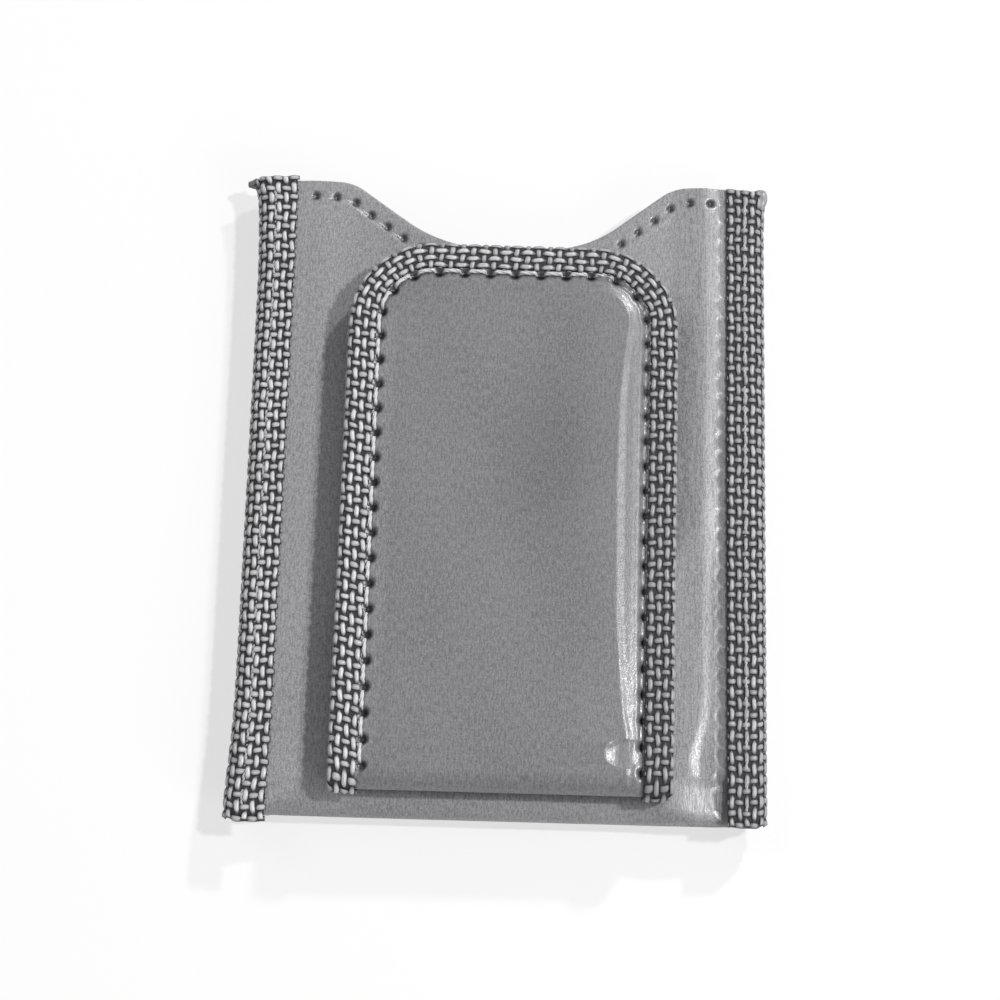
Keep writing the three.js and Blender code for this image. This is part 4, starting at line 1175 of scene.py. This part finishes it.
def side_tape_place(hand):
    """Points of one side's tape: a across it along the folded profile, b along the side and h out from its
    middle. The profile's two coordinates and its normal are read off at a. The ends turn down and are rounded
    off, but for the left one's top. The bottom end is cut back behind, and the left tape is longer and flares
    near its ends."""
    profile, profile_run, profile_forward = folded_profile(hand)
    width = profile_run[-1]

    def place(a, b, h):
        a = a - np.where(hand < 0, 0, 0.25)
        at_x, at_z, run_x, run_z = (
            np.interp(a, profile_run, column) for column in (*profile.T, *profile_forward.T)
        )
        beyond = a - np.clip(a, 0, width)
        cut_back = 0.6 * bell(a - 5.2, 1.3) + 1.7 * smooth_step((a / width - 0.42) / 0.2)
        top_end = np.where(hand < 0, 0.05, -0.5)
        bottom_end = np.where(hand < 0, 1.0, 0.1) - cut_back
        half = SIDE_TAPE_Y + np.where(b > SIDE_TAPE_Y, top_end, bottom_end)
        y = (b / SIDE_TAPE_Y - 1) * half
        h = h - 0.30 * np.clip((np.abs(y) - half + 0.7) / 0.7, 0, 1) ** 2
        out = np.clip((at_x - TAPE_INNER_X) / (SHELL_X + side_r - TAPE_INNER_X), 0, 1)
        top, bottom = SIDE_TAPE_Y - y, SIDE_TAPE_Y + y
        left_flare = 0.5 * bell(top, 9) + 0.7 * bell(top, 2.2) + 0.55 * bell(bottom, 10)
        flare = np.where(hand < 0, left_flare, 0.35 * bell(top, 3.5))
        shift = np.where(hand < 0, 0.25 * bell(bottom, 9), 0)
        x = at_x + beyond * run_x - h * run_z + out * flare + shift
        z = at_z + beyond * run_z + h * run_x
        placed = np.stack(np.broadcast_arrays(hand * x, y, SLEEVE_HALF + z), -1)
        return placed + 0.9 * (settled(placed) - placed)
    return place, width


# The frayed tip at the left tape's upper corner: yarn ends that lie together and taper to a point.
TIP_ROOT = np.array([-34.4, 43.75, 5.0])
TIP_POINT = np.array([-37.0, 43.85, 4.7])
TIP_YARNS = 9
TIP_RINGS = 15
TIP_SIDES = 8
tip_along = np.linspace(0, 1, TIP_RINGS)
tip_turn = 2 * np.pi * (np.arange(TIP_YARNS)[:, None] * 0.382 + 0.55 * tip_along)
tip_taper = (1 - 0.75 * tip_along ** 1.5) * (1 + 0.1 * np.cos(5 * tip_turn))
tip_spread = np.sqrt((np.arange(TIP_YARNS)[:, None] + 0.5) / TIP_YARNS) * tip_taper
tip_middle = np.stack([
    0 * tip_turn + TIP_ROOT[0] + (TIP_POINT[0] - TIP_ROOT[0]) * tip_along,
    TIP_ROOT[1] + (TIP_POINT[1] - TIP_ROOT[1]) * tip_along + 1.0 * tip_spread * np.cos(tip_turn),
    TIP_ROOT[2] + (TIP_POINT[2] - TIP_ROOT[2]) * tip_along + 0.50 * tip_spread * np.sin(tip_turn),
], -1)
tip_sides = 2 * np.pi * np.arange(TIP_SIDES) / TIP_SIDES
tip_ring = np.stack([0 * tip_sides, np.cos(tip_sides), np.sin(tip_sides)], -1)
tip_radius = 0.36 * (1 - 0.55 * tip_along)[None, :, None, None]
tip_points, tip_quads, tip_uv = tube_mesh(tip_middle[:, :, None] + tip_radius * tip_ring, 2.7 * tip_along)
tip_tone = np.repeat(np.arange(TIP_YARNS) % 3 - 2.4, TIP_RINGS * TIP_SIDES)
# The tip's yarns get a fixed depth, which paints them about three quarters of the way to the painted shade
# between yarns.
tip_values = {"rise": np.full(len(tip_points), 0.86), "tone": tip_tone}
left_frayed_tip = mesh_piece(
    "left_binding_frayed_tip", tip_points, tip_quads, yarn_material, corner_uv=tip_uv, values=tip_values,
)

# The folded corner of the textile that shows past the right tape's upper end: a flat rounded lobe.
LOBE_MIDDLE = np.array([34.40, 43.35, 5.75])
LOBE_HALF = np.array([0.95, 1.6, 0.85])
lobe_round, lobe_up = np.meshgrid(
    np.linspace(0, 2 * np.pi, 41)[:-1], np.linspace(-np.pi / 2, np.pi / 2, 21)[1:-1],
)


def lobe_power(wave):
    """A wave raised to the power 0.6 with its sign kept, which squares up a round form."""
    return np.sign(wave) * np.abs(wave) ** 0.6


lobe_grid = LOBE_MIDDLE + LOBE_HALF * np.stack([
    lobe_power(np.cos(lobe_round)) * lobe_power(np.cos(lobe_up)),
    lobe_power(np.sin(lobe_round)) * lobe_power(np.cos(lobe_up)), np.sin(lobe_up),
], -1)
lobe_narrow = 0.35 * smooth_step((LOBE_MIDDLE[1] - lobe_grid[..., 1]) / LOBE_HALF[1])
lobe_grid[..., 0] -= lobe_narrow * (lobe_grid[..., 0] - LOBE_MIDDLE[0] + 0.5)
lobe_points, lobe_quads, _ = tube_mesh(lobe_grid[None], np.arange(len(lobe_grid), dtype=float))
lobe_values = {"hole_shade_and_patch": np.zeros(len(lobe_points)), "brushed": np.zeros(len(lobe_points))}
right_folded_corner = mesh_piece(
    "sleeve_folded_corner", lobe_points, lobe_quads, textile, lobe_points[:, :2] * MM, values=lobe_values,
)
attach(right_folded_corner, "sleeve")

seam_material = polyester_thread("seam_thread", dark=0.28, light=0.62)
seam_y = np.linspace(-SEAM_END_Y, SEAM_END_Y, 540)
seam_count = int(round(2 * SEAM_END_Y / SEAM_PITCH))
seam_wave = stitch_wave(seam_y + SEAM_END_Y, 2 * SEAM_END_Y / seam_count)
# For each side: its name and hand, where its seam lies across the tape, how proud the seam thread stands, the
# painted shade on its yarns (lighter on the left, much darker on the right), where its dark sheet of painted
# shade begins across it (on the right out to the yarns' edge, a painted shadow line) and a seed.
side_tapes = [("left", -1, 2.80, 0.18, -0.9, 0.15, 21), ("right", 1, 2.36, 0.31, 4.1, -0.05, 22)]
for side_name, hand, seam_a, seam_proud, side_painted_shade, shade_sheet_edge, seed in side_tapes:
    place, tape_width = side_tape_place(hand)
    # The dark sheet of painted shade under the side tape's yarns, seen through their gaps.
    side_a, side_b = np.meshgrid(
        np.linspace(shade_sheet_edge, tape_width - SHADE_SHEET_INSET, 41),
        np.linspace(SIDE_SHADE_SHEET_END, 2 * SIDE_TAPE_Y - SIDE_SHADE_SHEET_END, 91), indexing="ij",
    )
    side_points, side_quads = closed_sheet(*(
        place(side_a, side_b, height) for height in (0.0, -SIDE_SHADE_SHEET_T)
    ))
    side_shade_sheet = mesh_piece(f"{side_name}_binding_shade_sheet", side_points, side_quads, shade_sheet_material)
    # Painted shade on the side tape's yarns: the side's own amount and darker round the turn, with a slow
    # wave of tone along it.
    side_yarns = woven_yarns(
        f"{side_name}_binding", yarn_material, place, tape_width, 2 * SIDE_TAPE_Y, SIDE_WARPS, SIDE_PICKS,
        False, np.random.default_rng(seed),
        lambda a, b: side_painted_shade + 0.3 * np.sin(0.21 * b + hand) + smooth_step((a - 3.6) / 1.5),
    )
    if hand < 0:
        side_yarns.append(left_frayed_tip)
    for tape in (side_shade_sheet, *side_yarns):
        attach(tape, "sleeve")
    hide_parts(f"{side_name}_side_binding")
    for thread, seam_at in [("needle", seam_a), ("bobbin", tape_width - seam_a)]:
        seam_centre = place(seam_at, seam_y + SIDE_TAPE_Y, -0.20 + seam_proud * seam_wave)
        seam_across = np.broadcast_to((1.0, 0.0, 0.0), seam_centre.shape)
        sew_row(
            f"{side_name}_seam_{thread}", "sleeve", seam_material, seam_centre, seam_across, SEAM_THREAD_R,
            twist=1.35,
        )

# Studio: the wallet lies on its back on a plain pale floor. Two lamps stand to the right of it, the stronger
# level with it and the weaker further up. A wide soft lamp on the left, another in front on the right and a
# pale room fill the shadows.
FLOOR_HALF = 1500.0
FLOOR_WHITE = 0.65
LAMP_REACH = 1.2
LAMP_SIZE = 0.075
WIDE_LAMP_SIZE = 10 * LAMP_SIZE
ROOM_FILL = 0.13
floor_material, floor_tree = fresh_material("studio_floor")
floor_tone = noise(floor_tree, object_place(floor_tree), (30, 30, 30), 2.0)
floor_colour = mix_colours(floor_tree, floor_tone, (0.92, 0.92, 0.92, 1), (0.94, 0.94, 0.94, 1))
floor_paint = dress(floor_tree, Base_Color=floor_colour, Roughness=0.9)
floor_glow = add_node(floor_tree, "ShaderNodeEmission", Color=(1, 1, 1, 1), Strength=1.0)
floor_ray = add_node(floor_tree, "ShaderNodeLightPath")
floor_seen = maths(floor_tree, "MULTIPLY", floor_ray.outputs["Is Camera Ray"], FLOOR_WHITE)
floor_mix = add_node(
    floor_tree, "ShaderNodeMixShader", _0=floor_seen, _1=floor_paint.outputs[0], _2=floor_glow.outputs[0],
)
floor_tree.links.new(floor_mix.outputs[0], floor_tree.nodes["Material Output"].inputs["Surface"])
floor_points = FLOOR_HALF * np.array([[-1.0, -1, 0], [1, -1, 0], [1, 1, 0], [-1, 1, 0]]) - (0, 0, 0.05)
floor = mesh_piece("studio_floor", floor_points, np.array([[0, 1, 2, 3]]), floor_material)
lamps = [
    ("lamp_right", (0.535, 0.07, 0.842), 0.48, LAMP_SIZE),
    ("lamp_upper", (0.458, 0.644, 0.613), 0.265, LAMP_SIZE),
    ("lamp_left", (-0.60, 0.30, 0.74), 0.11, WIDE_LAMP_SIZE),
    ("lamp_front", (0.62, -0.62, 0.48), 0.13, WIDE_LAMP_SIZE),
]
for lamp_name, toward, level, lamp_size in lamps:
    aim = unit(np.array(toward))
    lamp = bpy.data.lights.new(lamp_name, "AREA")
    lamp.shape = "DISK"
    lamp.size = lamp_size
    lamp.energy = level * np.pi ** 2 * LAMP_REACH ** 2 / aim[2]
    lamp_object = bpy.data.objects.new(lamp_name, lamp)
    lamp_object.location = aim * LAMP_REACH
    lamp_object.rotation_mode = "QUATERNION"
    lamp_object.rotation_quaternion = lamp_object.location.to_track_quat("Z", "Y")
    bpy.context.scene.collection.objects.link(lamp_object)
world = bpy.data.worlds.new("studio_room")
world.use_nodes = True
room = world.node_tree
room.nodes.clear()
ray = room.nodes.new("ShaderNodeLightPath")
seen = maths(room, "MAXIMUM", ray.outputs["Is Camera Ray"], ray.outputs["Is Glossy Ray"])
seen = maths(room, "MAXIMUM", seen, ray.outputs["Is Transmission Ray"])
strength = maths(room, "MULTIPLY_ADD", seen, 1 - ROOM_FILL, ROOM_FILL)
sky = add_node(room, "ShaderNodeBackground", Color=(1, 1, 1, 1), Strength=strength)
room_out = room.nodes.new("ShaderNodeOutputWorld")
room.links.new(sky.outputs[0], room_out.inputs["Surface"])
bpy.context.scene.world = world

CAMERA_PLACE = (-6.336, -91.858, 319.511)
CAMERA_TURN = (16.0923, -1.4020, 1.3920)
CAMERA_LENS = 87.68
camera = bpy.data.cameras.new("studio_camera")
camera.sensor_width = 36.0
camera.lens = CAMERA_LENS
camera.clip_start = 0.01
camera.clip_end = 20.0
camera_object = bpy.data.objects.new("studio_camera", camera)
camera_object.location = np.array(CAMERA_PLACE) * MM
camera_object.rotation_euler = np.radians(CAMERA_TURN)
bpy.context.scene.collection.objects.link(camera_object)
bpy.context.scene.camera = camera_object
bpy.context.scene.view_settings.view_transform = "Standard"
